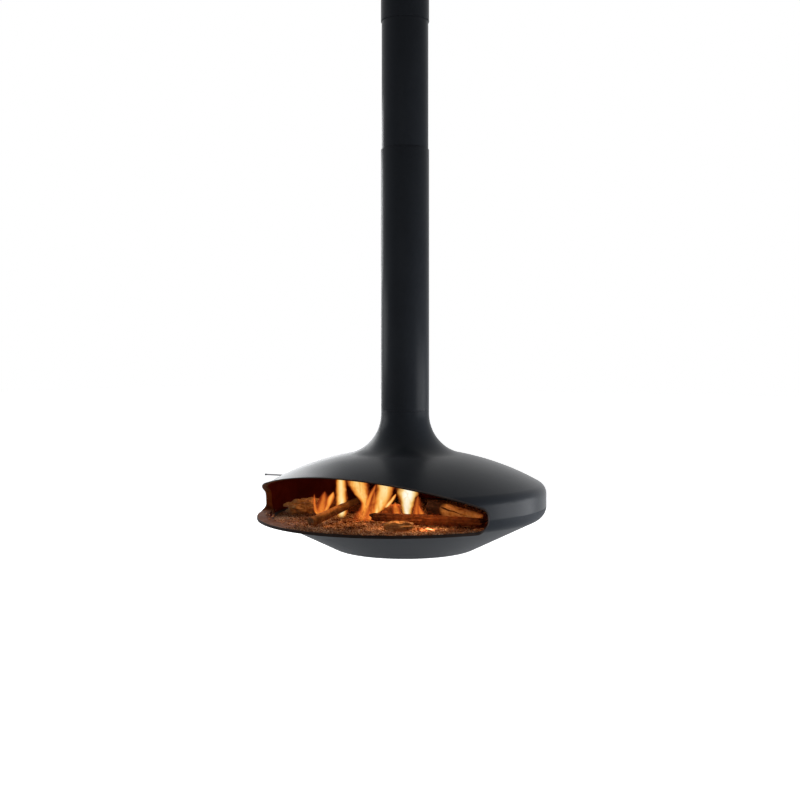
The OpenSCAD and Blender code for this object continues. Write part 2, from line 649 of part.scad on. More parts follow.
module damper_plate() color(DARK) at_spindle() difference() {
    translate([0, spindle_d / 2, 0]) rotate([-90, 0, 0]) cylinder(d = damper_d, h = damper_t);
    for (x = [-plate_screw_x, plate_screw_x]) translate([x, 0, 0]) rotate([-90, 0, 0])
        cylinder(d = plate_screw_d + hole_ease, h = 2 * spindle_d);
}

module damper_screws() color(BRIGHT) at_spindle()
    for (x = [-plate_screw_x, plate_screw_x]) translate([x, 0, 0]) rotate([-90, 0, 0]) {
        translate([0, 0, -spindle_d / 2]) cylinder(d = plate_screw_d, h = spindle_d + damper_t);
        translate([0, 0, spindle_d / 2 + damper_t]) cylinder(d = 2 * plate_screw_d, h = plate_head_t);
    }

module damper_lever() color(DARK) at_spindle() rotate([-lever_tilt, 0, 0]) difference() {
    union() {
        translate([0, 0, -lever_l]) cylinder(d = lever_d, h = lever_l);
        translate([0, 0, -lever_l - eye_r]) rotate([90, 0, 0])
            rotate_extrude() translate([eye_r + eye_wire_d / 2, 0]) circle(d = eye_wire_d);
    }
    rotate([0, 90, 0]) cylinder(d = spindle_d, h = 4 * lever_d, center = true);
}

ceiling_plate();
smoke_spigot();
seal_rings();
rope_seal();
hanger_studs();
hanger_nuts();
support_ring();
lower_race();
ceiling_sleeve();
sleeve_screws();
ceiling_rose();
rose_screws();
ball_cage();
bearing_balls();
upper_race();
pivot_flange();
upper_flue();
lower_flue();
flue_screws();
flue_coupling();
coupling_screws();
hood_shell();
lower_pan();
mouth_lip();
handle_rod();
handle_ball();
handle_nut();
insulation_block();
floor_plate();
ember_bed();
log_front_stick();
log_left_chunk();
log_right_round();
log_long_dark();
log_back();
log_centre_split();
log_charred_end();
spindle_bushes();
damper_spindle();
damper_plate();
damper_screws();
damper_lever();
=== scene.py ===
import math
import random
from itertools import product

import bmesh
import bpy
from mathutils import Matrix, Vector, noise


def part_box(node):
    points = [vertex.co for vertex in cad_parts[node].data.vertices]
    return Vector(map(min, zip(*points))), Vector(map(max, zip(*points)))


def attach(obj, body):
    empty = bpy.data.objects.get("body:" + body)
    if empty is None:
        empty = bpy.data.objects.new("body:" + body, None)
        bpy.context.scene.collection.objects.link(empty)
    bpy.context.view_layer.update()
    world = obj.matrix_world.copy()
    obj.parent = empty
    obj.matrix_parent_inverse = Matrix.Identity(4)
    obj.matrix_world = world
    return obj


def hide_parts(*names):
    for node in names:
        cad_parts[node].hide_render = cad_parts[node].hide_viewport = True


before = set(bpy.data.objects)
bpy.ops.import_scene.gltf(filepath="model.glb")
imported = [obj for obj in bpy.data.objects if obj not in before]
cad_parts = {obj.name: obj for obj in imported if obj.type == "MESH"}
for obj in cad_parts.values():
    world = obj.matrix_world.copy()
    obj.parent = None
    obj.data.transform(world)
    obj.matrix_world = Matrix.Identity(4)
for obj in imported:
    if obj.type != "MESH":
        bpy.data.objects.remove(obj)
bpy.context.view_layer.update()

# ---- sizes in metres, angles in radians; heights are above the rim, except RIM_Z and FLOOR_Z ----
RIM_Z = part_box("hood_shell")[0].z
RIM_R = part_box("hood_shell")[1].x
COLLAR_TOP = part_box("hood_shell")[1].z - RIM_Z
FLUE_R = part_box("lower_flue")[1].x
BAND_H = 0.0526
SHELL_T = 0.004
COLLAR_STRAIGHT = 0.0155
FLARE_R = 0.180
DOME_SLOPE_IN = math.radians(11.1)
DOME_SLOPE_OUT = math.radians(29.2)
HOOD_BEND_R = 0.051
PAN_BEND_R = 0.061
PAN_SLOPE = math.radians(26.2)
PAN_FLOOR_R = 0.300
PAN_FILLET_R = 0.090
MOUTH_HALF_ANGLE = math.radians(66.2)
MOUTH_TOP = 0.1505
MOUTH_FALL = 0.115
MOUTH_LATE_FALL = 0.31
MOUTH_BOTTOM = 0.0405
MOUTH_TOP_CORNER = 0.027
MOUTH_LOW_CORNER = 0.038
LIP_T = 0.004
LIP_HEM = 0.012
LIP_BEAD = 0.0005
LIP_TUCK = 0.010
LIP_REACH = 0.020
LEDGE_REACH = 0.050
LEDGE_BULGE = 0.0199
LEDGE_ONSET = 1.2
LEDGE_EASE = 1.3
LIP_SPLAY = 0.30
HOOD_ON_LIP = 0.8
BED_EDGE_Z = -0.054
BED_CROWN = 0.016
BED_EDGE_GAP = 0.001
LOG_R = 0.040
COLLAR_EDGE = 0.0012
AXIS_GAP = 0.0005
SHELL_STEPS = 256
TUBE_STEPS = 160
END_RINGS = (0.06, 0.25, 0.45, 0.65, 0.82, 0.93)
CHIP_SEED = 41
BED_CHIPS = 6400
LEDGE_CHIPS = 3600
BED_MARKS = ("tone", "glow", "ash")
BOX_FACES = ((0, 1, 3, 2), (4, 6, 7, 5), (0, 4, 5, 1), (2, 3, 7, 6), (0, 2, 6, 4), (1, 5, 7, 3))
FLAME_SPREAD = 1.28

CAMERA_TURN = math.radians(34)
CAMERA_DISTANCE = 5.0
CAMERA_ABOVE_RIM = 0.65
CAMERA_F_PX = 1123.0
CAMERA_CENTRE_PX = (405.0, 357.1)
PHOTO_PX = 800.0
SENSOR_MM = 36.0
FLOOR_Z = -2.95
FLOOR_SIZE = 60
FLOOR_GLOW = 0.82
WHITE = (1, 1, 1, 1)
COOL_WHITE = (0.97, 0.985, 1.0)
# The backdrop is brightest at an azimuth counted from the camera, to its right. Its light is listed from
# the side opposite to that (0) up to it (1).
BACKDROP_AZIMUTH = -145
BACKDROP = [(0.0, 0.035), (0.42, 0.07), (0.62, 0.22), (0.82, 0.75), (0.97, 1.6)]
BACKDROP_TINT = (0.95, 0.975, 1.0)


# ---- small helpers ----
def lerp(a, b, t):
    return a + (b - a) * t


def smooth_step(t):
    t = min(1.0, max(0.0, t))
    return t * t * (3 - 2 * t)


def swell(a, b, t):
    """From a to b along half a cosine wave."""
    return a + (b - a) * (1 - math.cos(math.pi * t)) / 2


def polar(radius, angle):
    """The place at an angle from the front, counted to its right."""
    return radius * math.sin(angle), -radius * math.cos(angle)


def arc(centre, radius, a0, a1, steps):
    """Points along an arc, angles in radians."""
    return [(centre[0] + radius * math.cos(lerp(a0, a1, i / steps)),
             centre[1] + radius * math.sin(lerp(a0, a1, i / steps))) for i in range(steps + 1)]


def across(path, i):
    """The step from the point before to the one after on an open path, and its length."""
    a = path[max(0, i - 1)]
    b = path[min(len(path) - 1, i + 1)]
    dx, dz = b[0] - a[0], b[1] - a[1]
    return dx, dz, math.hypot(dx, dz)


def beside(path, distance):
    """The path moved sideways, to its right when walked along."""
    moved = []
    for i, (x, z) in enumerate(path):
        dx, dz, length = across(path, i)
        moved.append((x + distance * dz / length, z - distance * dx / length))
    return moved


def look_up(x, pairs):
    """Linear interpolation in a list of (key, value) with rising keys."""
    if x <= pairs[0][0]:
        return pairs[0][1]
    for (x0, y0), (x1, y1) in zip(pairs, pairs[1:]):
        if x <= x1:
            return lerp(y0, y1, (x - x0) / (x1 - x0)) if x1 > x0 else y1
    return pairs[-1][1]


def rounded_path(points, steps):
    """A closed outline with its corners rounded; each point is (x, z, radius)."""
    out = []
    for i, (x, z, radius) in enumerate(points):
        here = Vector((x, z))
        before = Vector(points[i - 1][:2]) - here
        after = Vector(points[(i + 1) % len(points)][:2]) - here
        if radius <= 0:
            out.append(tuple(here))
            continue
        cut = min(radius, before.length * 0.45, after.length * 0.45)
        a = here + before.normalized() * cut
        b = here + after.normalized() * cut
        for k in range(steps + 1):
            t = k / steps
            out.append(tuple(a * (1 - t) ** 2 + here * 2 * t * (1 - t) + b * t ** 2))
    return out


def add_object(name, data):
    made = bpy.data.objects.new(name, data)
    bpy.context.scene.collection.objects.link(made)
    return made


def new_object(name, verts, faces, materials, body, smooth=True, face_slots=None):
    """A mesh piece, which rides on a body if one is given."""
    mesh = bpy.data.meshes.new(name)
    mesh.from_pydata([tuple(v) for v in verts], [], faces)
    mesh.validate()
    obj = add_object(name, mesh)
    for material in materials:
        mesh.materials.append(material)
    mesh.polygons.foreach_set("use_smooth", [smooth] * len(mesh.polygons))
    if face_slots:
        mesh.polygons.foreach_set("material_index", face_slots)
    if body:
        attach(obj, body)
    return obj


def grid_faces(rows, cols, closed=False):
    """Faces between rings of points, one ring in each row; closed joins the last row to the first."""
    faces = []
    for i in range(rows if closed else rows - 1):
        for j in range(cols):
            a, b = i * cols, ((i + 1) % rows) * cols
            k = (j + 1) % cols
            faces.append((a + j, b + j, b + k, a + k))
    return faces


def revolve(path, steps):
    """Vertices and faces of a closed (radius, height) path turned about Z."""
    verts = [(*polar(r, 2 * math.pi * j / steps), z) for r, z in path for j in range(steps)]
    return verts, grid_faces(len(path), steps, closed=True)


def fix_normals(obj, weld=True):
    """Turns all faces outwards, after joining points that lie on each other."""
    bm = bmesh.new()
    bm.from_mesh(obj.data)
    if weld:
        bmesh.ops.remove_doubles(bm, verts=bm.verts, dist=1e-6)
    bmesh.ops.recalc_face_normals(bm, faces=bm.faces)
    bm.to_mesh(obj.data)
    bm.free()


def sharpen(obj, degrees):
    """Marks edges sharper than an angle, so flat faces shade flat and curves smooth."""
    bm = bmesh.new()
    bm.from_mesh(obj.data)
    for edge in bm.edges:
        if len(edge.link_faces) == 2 and edge.calc_face_angle(0) > math.radians(degrees):
            edge.smooth = False
    bm.to_mesh(obj.data)
    bm.free()


def store(obj, names, rows):
    """Keeps numbers for the materials to read: one row for each vertex, one name for each column."""
    for k, name in enumerate(names):
        kept = obj.data.attributes.new(name, "FLOAT", "POINT").data
        kept.foreach_set("value", [row[k] for row in rows])


# ---- materials ----
def feed(tree, node, inputs):
    """Gives inputs of a node, by name or number, a value or an output to follow."""
    for key, value in inputs.items():
        if isinstance(value, bpy.types.NodeSocket):
            tree.links.new(value, node.inputs[key])
        else:
            node.inputs[key].default_value = value


def add_node(tree, kind, inputs=None, **settings):
    made = tree.nodes.new(kind)
    for key, value in settings.items():
        setattr(made, key, value)
    feed(tree, made, inputs or {})
    return made


def add_ramp(tree, value, stops):
    """The colour that a value has on a scale of (place, colour); a number stands for a grey."""
    made = add_node(tree, "ShaderNodeValToRGB", {0: value})
    ramp = made.color_ramp
    while len(ramp.elements) < len(stops):
        ramp.elements.new(0.5)
    for element, (at, colour) in zip(ramp.elements, stops):
        element.position = at
        element.color = (*colour, 1) if isinstance(colour, tuple) else (colour, colour, colour, 1)
    return made.outputs[0]


class Shader:
    """A node material built line by line."""

    def __init__(self, name):
        self.material = bpy.data.materials.new(name)
        self.material.use_nodes = True
        self.tree = self.material.node_tree
        self.tree.nodes.clear()
        self.body = self.add("ShaderNodeBsdfPrincipled")
        self.add("ShaderNodeOutputMaterial", {0: self.body.outputs[0]})
        self.place = self.add("ShaderNodeTexCoord").outputs["Object"]

    def add(self, kind, inputs=None, **settings):
        return add_node(self.tree, kind, inputs, **settings)

    def stretched(self, stretch):
        if stretch is None:
            return self.place
        return self.add("ShaderNodeMapping", {"Scale": stretch, "Vector": self.place}).outputs[0]

    def noise(self, scale, detail, rough, stretch=None, distort=0.0):
        return self.add("ShaderNodeTexNoise", {
            "Vector": self.stretched(stretch), "Scale": scale, "Detail": detail, "Roughness": rough,
            "Distortion": distort}).outputs["Fac"]

    def voronoi(self, scale, feature="F1", stretch=None):
        made = self.add("ShaderNodeTexVoronoi", feature=feature)
        feed(self.tree, made, {"Vector": self.stretched(stretch), "Scale": scale})
        return made.outputs["Distance"]

    def attribute(self, name):
        return self.add("ShaderNodeAttribute", attribute_name=name).outputs["Fac"]

    def ramp(self, value, stops):
        return add_ramp(self.tree, value, stops)

    def between(self, value, low, high, at=(0.3, 0.7)):
        """From one colour or grey to another, while the value goes between two places."""
        return self.ramp(value, [(at[0], low), (at[1], high)])

    def math(self, kind, a, b=0.0):
        return self.add("ShaderNodeMath", {0: a, 1: b}, operation=kind).outputs[0]

    def mix(self, factor, a, b):
        a, b = ((*value, 1) if isinstance(value, tuple) else value for value in (a, b))
        return self.add("ShaderNodeMix", {0: factor, 6: a, 7: b}, data_type="RGBA").outputs[2]

    def bump(self, height, strength, distance, over=None):
        inputs = {"Strength": strength, "Distance": distance, "Height": height}
        if over is not None:
            inputs["Normal"] = over
        return self.add("ShaderNodeBump", inputs).outputs[0]

    def surface(self, **inputs):
        """Feeds the surface's inputs, with _ for the spaces in their names, and gives the material."""
        feed(self.tree, self.body, {key.replace("_", " "): value for key, value in inputs.items()})
        return self.material


def matt_paint(name, rough, gloss):
    """Heat-resistant matt paint on spun steel: fine grain, faint spinning marks, worn dust."""
    s = Shader(name)
    cloud = s.noise(3.2, 5, 0.6)
    grain = s.noise(900, 2, 0.6)
    spin = s.noise(40, 3, 0.55, stretch=(0.35, 0.35, 6))
    tone = s.between(cloud, (0.014, 0.0165, 0.0215), (0.021, 0.0245, 0.0305))
    worn = s.math("ADD", s.math("MULTIPLY", cloud, 0.5), s.math("MULTIPLY", grain, 0.5))
    return s.surface(
        Base_Color=s.mix(s.math("MULTIPLY", grain, 0.35), tone, (0.035, 0.039, 0.046)),
        Roughness=s.between(worn, *rough),
        Normal=s.bump(spin, 0.04, 0.002, over=s.bump(grain, 0.25, 0.0003)),
        Specular_IOR_Level=gloss, Sheen_Weight=0.05, Sheen_Roughness=0.45)


def lip_firelit_paint():
    """The paint of the lip, dulled by the fire, with a brown tone that is painted firelight."""
    s = Shader("lip_paint_painted_firelight")
    # painted firelight: the brown colours stand for the fire's warm glow on the lip
    return s.surface(
        Base_Color=s.between(s.noise(14, 5, 0.6), (0.014, 0.009, 0.008), (0.026, 0.017, 0.014)),
        Normal=s.bump(s.noise(900, 2, 0.6), 0.3, 0.0004), Roughness=0.75, Specular_IOR_Level=0.06)


def sooty_firelit_steel():
    """Inside of the hearth: bare steel dulled with soot, with a red-brown tone that is painted firelight."""
    s = Shader("sooty_firelit_steel")
    cloud = s.noise(6, 6, 0.62, distort=0.4)
    fleck = s.noise(120, 3, 0.6)
    # painted firelight: these red-brown colours stand for the fire's glow on the dark steel
    tone = s.ramp(cloud, [(0.28, (0.030, 0.0026, 0.0018)), (0.5, (0.062, 0.005, 0.0032)),
                          (0.75, (0.110, 0.014, 0.008))])
    return s.surface(
        Base_Color=s.mix(s.math("MULTIPLY", fleck, 0.3), tone, (0.12, 0.020, 0.012)),
        Roughness=s.between(cloud, 0.85, 0.62),
        Normal=s.bump(fleck, 0.35, 0.0012), Specular_IOR_Level=0.05)


def ledge_steel():
    """The ash ledge in the mouth: browned steel under a film of grey ash."""
    s = Shader("ledge_steel")
    dust = s.noise(60, 5, 0.65)
    tone = s.between(s.noise(9, 5, 0.6), (0.080, 0.027, 0.009), (0.145, 0.050, 0.017))
    lying = s.math("MULTIPLY", s.between(dust, 0.0, 0.8, (0.35, 0.7)), s.attribute("ash"))
    return s.surface(
        Base_Color=s.mix(lying, tone, (0.26, 0.165, 0.13)),
        Roughness=s.between(dust, 0.6, 0.85),
        Normal=s.bump(dust, 0.3, 0.001), Specular_IOR_Level=0.03)


def brushed_metal(name, low, high, rough):
    """Drawn or ground metal with marks along one direction and light staining."""
    s = Shader(name)
    marks = s.noise(60, 4, 0.6, stretch=(1, 1, 30))
    stain = s.noise(14, 4, 0.6)
    stained = tuple(0.6 * c for c in low)
    return s.surface(
        Base_Color=s.mix(s.between(stain, 0.0, 0.35, (0.5, 0.9)), s.between(marks, low, high), stained),
        Roughness=s.between(stain, *rough), Normal=s.bump(marks, 0.15, 0.0005), Metallic=1.0)


def galvanised_steel():
    """Zinc-coated plate with its patchwork of crystals."""
    s = Shader("galvanised_steel")
    crystals = s.voronoi(55)
    tone = s.between(crystals, (0.50, 0.51, 0.53), (0.36, 0.37, 0.39), (0.0, 0.6))
    dulled = s.between(s.noise(18, 4, 0.6), 0.0, 0.4, (0.5, 0.85))
    return s.surface(
        Base_Color=s.mix(dulled, tone, (0.55, 0.55, 0.54)),
        Roughness=s.between(crystals, 0.35, 0.52, (0.0, 0.6)), Metallic=0.9)


def rope_fibre():
    """Woven glass-fibre rope."""
    s = Shader("rope_fibre")
    weave = s.voronoi(420, stretch=(1, 1, 0.6))
    return s.surface(
        Base_Color=s.between(weave, (0.62, 0.59, 0.52), (0.36, 0.34, 0.30), (0.0, 0.6)),
        Normal=s.bump(weave, 0.6, 0.002), Roughness=0.95)


def fibre_board():
    """Pale insulating board with a felted surface."""
    s = Shader("fibre_board")
    felt = s.noise(180, 5, 0.7)
    return s.surface(
        Base_Color=s.between(felt, (0.46, 0.42, 0.34), (0.60, 0.56, 0.47)),
        Normal=s.bump(felt, 0.4, 0.002), Roughness=0.95)


def cast_iron(name):
    """Raw sand-cast iron."""
    s = Shader(name)
    sand = s.noise(260, 4, 0.7)
    return s.surface(
        Base_Color=s.between(sand, (0.018, 0.017, 0.016), (0.045, 0.041, 0.038)),
        Normal=s.bump(sand, 0.5, 0.0015), Roughness=0.72, Metallic=0.6)


def ember_bed_ash():
    """Granular bed: charcoal crumbs, bark chips and ash, with glowing spots where it is hot."""
    s = Shader("ember_bed_ash")
    crumb = s.voronoi(150)
    hot = s.attribute("glow")
    # the tone attribute carries the bed's painted shade towards the back as well as its random tone
    mixed = s.math("ADD", s.math("MULTIPLY", s.attribute("tone"), 0.7), s.math("MULTIPLY", crumb, 0.55))
    colour = s.ramp(mixed, [(0.12, (0.026, 0.010, 0.004)), (0.36, (0.11, 0.048, 0.020)),
                            (0.58, (0.27, 0.145, 0.075)), (0.85, (0.55, 0.38, 0.26))])
    ashy = s.math("MULTIPLY", s.attribute("ash"), s.between(s.noise(11, 5, 0.6), 0.45, 1.0, (0.3, 0.6)))
    return s.surface(
        Base_Color=s.mix(ashy, colour, (0.33, 0.215, 0.175)),
        Normal=s.bump(crumb, 0.8, 0.003), Roughness=0.92, Specular_IOR_Level=0.08,
        Emission_Color=s.ramp(hot, [(0.0, (1.0, 0.10, 0.01)), (0.55, (1.0, 0.30, 0.06)),
                                    (1.0, (1.0, 0.72, 0.42))]),
        Emission_Strength=s.math("MULTIPLY", hot, 2.3))


def log_skin(name, bark, cut_end):
    """Wood with furrowed bark, ringed ends, charring that eats in from below and glowing cracks."""
    s = Shader(name)
    furrows = s.noise(38, 5, 0.65, distort=0.6)
    scales = s.voronoi(95)
    years = s.math("FRACT", s.math("MULTIPLY", s.attribute("core"), 7.0))
    rings = s.ramp(years, [(0.0, 0.25), (0.55, 0.9), (0.95, 0.35)])
    cut = s.mix(s.math("MULTIPLY", rings, 0.8), *cut_end)
    fresh = s.mix(s.attribute("end"), s.between(furrows, *bark, (0.3, 0.68)), cut)
    eaten = s.math("ADD", s.attribute("char"), s.math("MULTIPLY", s.noise(13, 4, 0.6), 0.5))
    black = s.between(scales, (0.034, 0.012, 0.007), (0.010, 0.004, 0.003), (0.0, 0.5))
    cracks = s.between(s.voronoi(60, "DISTANCE_TO_EDGE"), 1.0, 0.0, (0.0, 0.05))
    hot = s.math("MULTIPLY", s.attribute("glow"), cracks)
    return s.surface(
        Base_Color=s.mix(s.between(eaten, 0.0, 1.0, (0.45, 0.8)), fresh, black),
        Roughness=s.between(s.attribute("along"), 0.8, 0.9, (0.0, 1.0)),
        Normal=s.bump(furrows, 0.7, 0.004, over=s.bump(scales, 0.5, 0.003)),
        Emission_Color=s.between(hot, (1.0, 0.12, 0.02), (1.0, 0.45, 0.12), (0.0, 1.0)),
        Emission_Strength=s.math("MULTIPLY", hot, 2.5), Specular_IOR_Level=0.08)


def flame():
    """Burning gas: thin at its edges, orange outside and pale yellow within, with rising streaks."""
    s = Shader("flame")
    streak = s.noise(34, 1.5, 0.5, stretch=(1, 1, 0.16), distort=0.9)
    heat = s.math("ADD", s.attribute("warmth"), s.math("MULTIPLY", s.math("SUBTRACT", streak, 0.5), 0.6))
    return s.surface(
        Base_Color=(0, 0, 0, 1), Roughness=1.0, Specular_IOR_Level=0.0,
        Alpha=s.math("MULTIPLY", s.attribute("veil"), s.between(streak, 0.35, 1.0, (0.3, 0.5))),
        Emission_Color=s.ramp(heat, [
            (0.0, (0.34, 0.045, 0.010)), (0.22, (0.78, 0.16, 0.022)), (0.45, (0.95, 0.32, 0.045)),
            (0.68, (1.0, 0.52, 0.12)), (0.84, (1.0, 0.74, 0.33)), (1.0, (1.0, 0.95, 0.80))]),
        Emission_Strength=1.05)


PAINT = matt_paint("matt_black_paint", (0.27, 0.35), 0.045)
UNDERSIDE = matt_paint("underside_paint", (0.50, 0.60), 0.03)
FIRELIT_LIP = lip_firelit_paint()
SOOT_FIRELIT = sooty_firelit_steel()
LEDGE = ledge_steel()
ZINC = galvanised_steel()
GROUND_STEEL = brushed_metal("ground_steel", (0.42, 0.42, 0.44), (0.62, 0.62, 0.64), (0.16, 0.3))
BRASS = brushed_metal("turned_brass", (0.48, 0.32, 0.12), (0.66, 0.47, 0.20), (0.25, 0.42))
DARK_ROD = brushed_metal("dark_rod", (0.09, 0.09, 0.095), (0.17, 0.17, 0.175), (0.35, 0.5))
ROD_STEEL = brushed_metal("rod_steel", (0.30, 0.31, 0.32), (0.46, 0.47, 0.48), (0.3, 0.5))
SOOT_IRON = cast_iron("soot_iron")
ROPE = rope_fibre()
BOARD = fibre_board()
FLOOR_IRON = cast_iron("floor_iron")
EMBERS = ember_bed_ash()
BARK = log_skin("log_bark", ((0.050, 0.024, 0.009), (0.19, 0.095, 0.036)),
                ((0.16, 0.085, 0.04), (0.36, 0.22, 0.11)))
OCHRE_WOOD = log_skin("split_wood", ((0.17, 0.085, 0.028), (0.46, 0.27, 0.11)),
                      ((0.24, 0.13, 0.06), (0.46, 0.30, 0.16)))
CHARRED = log_skin("charred_wood", ((0.048, 0.016, 0.006), (0.19, 0.064, 0.021)),
                   ((0.02, 0.008, 0.004), (0.07, 0.028, 0.012)))
FLAME = flame()


# ---- camera and stage ----
def place_camera():
    data = bpy.data.cameras.new("camera")
    camera = add_object("camera", data)
    camera.location = (*polar(CAMERA_DISTANCE, CAMERA_TURN), RIM_Z + CAMERA_ABOVE_RIM)
    camera.rotation_euler = (math.pi / 2, 0, CAMERA_TURN)
    data.sensor_width = SENSOR_MM
    data.lens = CAMERA_F_PX / PHOTO_PX * SENSOR_MM
    data.shift_x = (PHOTO_PX / 2 - CAMERA_CENTRE_PX[0]) / PHOTO_PX
    data.shift_y = (CAMERA_CENTRE_PX[1] - PHOTO_PX / 2) / PHOTO_PX
    bpy.context.scene.camera = camera


def finish_stage_tree(tree, output, lit, seen):
    """One shader lights the object; the other is seen by the camera, in gloss and through clear things."""
    path = add_node(tree, "ShaderNodeLightPath").outputs
    rays = path["Is Camera Ray"]
    for name in ("Is Glossy Ray", "Is Transmission Ray"):
        rays = add_node(tree, "ShaderNodeMath", {0: rays, 1: path[name]}, operation="MAXIMUM").outputs[0]
    mix = add_node(tree, "ShaderNodeMixShader", {0: rays, 1: lit, 2: seen})
    add_node(tree, output, {0: mix.outputs[0]})


def make_floor():
    bpy.ops.mesh.primitive_plane_add(size=FLOOR_SIZE, location=(0, 0, FLOOR_Z))
    floor = bpy.context.object
    floor.name = "studio_floor"
    material = bpy.data.materials.new("studio_floor")
    material.use_nodes = True
    tree = material.node_tree
    tree.nodes.clear()
    matte = add_node(tree, "ShaderNodeBsdfDiffuse", {"Color": (0.8, 0.8, 0.8, 1)}).outputs[0]
    glow = add_node(tree, "ShaderNodeEmission", {"Color": WHITE, "Strength": FLOOR_GLOW}).outputs[0]
    both = add_node(tree, "ShaderNodeAddShader", {0: matte, 1: glow}).outputs[0]
    finish_stage_tree(tree, "ShaderNodeOutputMaterial", matte, both)
    floor.data.materials.append(material)


def make_backdrop():
    world = bpy.data.worlds.new("studio")
    world.use_nodes = True
    bpy.context.scene.world = world
    tree = world.node_tree
    tree.nodes.clear()
    ray = add_node(tree, "ShaderNodeTexCoord").outputs["Generated"]
    brightest = (*polar(1, CAMERA_TURN + math.radians(BACKDROP_AZIMUTH)), 0.0)
    facing = add_node(tree, "ShaderNodeVectorMath", operation="DOT_PRODUCT")
    feed(tree, facing, {0: ray, 1: brightest})
    share = add_node(tree, "ShaderNodeMath", operation="MULTIPLY_ADD")
    feed(tree, share, {0: facing.outputs["Value"], 1: 0.5, 2: 0.5})
    stops = [(at, tuple(c * value for c in BACKDROP_TINT)) for at, value in BACKDROP]
    light = add_ramp(tree, share.outputs[0], stops)
    soft = add_node(tree, "ShaderNodeBackground", {"Color": light, "Strength": 1.0}).outputs[0]
    white = add_node(tree, "ShaderNodeBackground", {"Color": WHITE, "Strength": 1.0}).outputs[0]
    finish_stage_tree(tree, "ShaderNodeOutputWorld", soft, white)


def softbox(name, azimuth, height, distance, size, power, aim_z, colour=COOL_WHITE):
    """An area lamp that looks at the object; azimuth is counted from the camera, to its right."""
    data = bpy.data.lights.new(name, "AREA")
    data.shape = "RECTANGLE"
    data.size, data.size_y = size
    data.energy = power
    data.color = colour
    lamp = add_object(name, data)
    lamp.location = (*polar(distance, CAMERA_TURN + math.radians(azimuth)), height)
    lamp.rotation_euler = (Vector((0, 0, aim_z)) - lamp.location).to_track_quat("-Z", "Y").to_euler()
    lamp.visible_camera = False


bpy.context.scene.view_settings.view_transform = "Standard"
place_camera()
make_floor()
make_backdrop()
softbox("left_low", -105, -1.75, 2.3, (1.4, 0.8), 14, -2.4)
softbox("right_low", 86, -2.5, 2.3, (2.0, 0.85), 38, -2.4)
softbox("right_front", 66, -2.5, 2.6, (1.3, 0.8), 11, -2.35)
softbox("left_high", -145, -0.6, 3.5, (1.6, 1.2), 28, -2.2)
softbox("behind", -165, -1.75, 4.5, (3.2, 1.5), 42, -2.1)
softbox("front_fill", -20, -0.6, 4.5, (2.0, 2.0), 5, -1.9, (1, 1, 1))


# ---- hearth body: profiles shared by the hood, the pan and the lip ----
FLARE_Z = COLLAR_TOP - COLLAR_STRAIGHT
FLARE_TURN = math.pi / 2 - DOME_SLOPE_IN
FLARE_CENTRE = (FLUE_R + FLARE_R, FLARE_Z)
BEND_CENTRE = (RIM_R - HOOD_BEND_R, BAND_H)


def dome_curve(p0, p1, slope0, slope1, steps):
    """The dome between its two bends: a cubic curve that has their slopes at its ends."""
    chord = math.hypot(p1[0] - p0[0], p1[1] - p0[1])
    t0 = (chord * math.cos(slope0), -chord * math.sin(slope0))
    t1 = (chord * math.cos(slope1), -chord * math.sin(slope1))
    points = []
    for i in range(1, steps):
        u = i / steps
        k = (2 * u ** 3 - 3 * u ** 2 + 1, u ** 3 - 2 * u ** 2 + u, 3 * u ** 2 - 2 * u ** 3, u ** 3 - u ** 2)
        points.append(tuple(k[0] * p0[c] + k[1] * t0[c] + k[2] * p1[c] + k[3] * t1[c] for c in (0, 1)))
    return points


flare = arc(FLARE_CENTRE, FLARE_R, math.pi, math.pi + FLARE_TURN, 40)
hood_bend = arc(BEND_CENTRE, HOOD_BEND_R, math.pi / 2 - DOME_SLOPE_OUT, 0, 20)
dome = dome_curve(flare[-1], hood_bend[0], DOME_SLOPE_IN, DOME_SLOPE_OUT, 44)
HOOD_OUTER = [(FLUE_R, COLLAR_TOP)] + flare + dome + hood_bend + [(RIM_R, BAND_H / 2), (RIM_R, 0)]
HOOD_INNER = beside(HOOD_OUTER, SHELL_T)
PAN_CORNER_Z = (-PAN_BEND_R * math.cos(PAN_SLOPE)
                - (RIM_R - PAN_BEND_R + PAN_BEND_R * math.sin(PAN_SLOPE) - PAN_FLOOR_R) * math.tan(PAN_SLOPE))
FILLET_CENTRE = (PAN_FLOOR_R - PAN_FILLET_R * math.tan(PAN_SLOPE / 2), PAN_CORNER_Z + PAN_FILLET_R)


def pan_skin(depth):
    return (arc((RIM_R - PAN_BEND_R, 0), PAN_BEND_R - depth, 0, PAN_SLOPE - math.pi / 2, 22)
            + arc(FILLET_CENTRE, PAN_FILLET_R - depth, PAN_SLOPE - math.pi / 2, -math.pi / 2, 10))


PAN_OUTER = pan_skin(0)
PAN_INNER = pan_skin(SHELL_T)
BODY_HEIGHTS = sorted((z, r) for r, z in PAN_OUTER + HOOD_OUTER)
PAN_IN_HEIGHTS = sorted((z, r) for r, z in PAN_INNER)


def body_r(z):
    return look_up(z, BODY_HEIGHTS)


# ---- mouth: drawn on the hood as if it were unrolled, (distance along the rim, height) ----
MOUTH_W = RIM_R * MOUTH_HALF_ANGLE


def mouth_top_z(u):
    return MOUTH_TOP - MOUTH_FALL * ((1 - MOUTH_LATE_FALL) * u ** 2 + MOUTH_LATE_FALL * u ** 4)


def bend(corner, t):
    """A place on the curve that rounds a corner; the corner is its first, middle and last point."""
    return tuple((1 - t) ** 2 * a + 2 * t * (1 - t) * b + t ** 2 * c for a, b, c in zip(*corner))


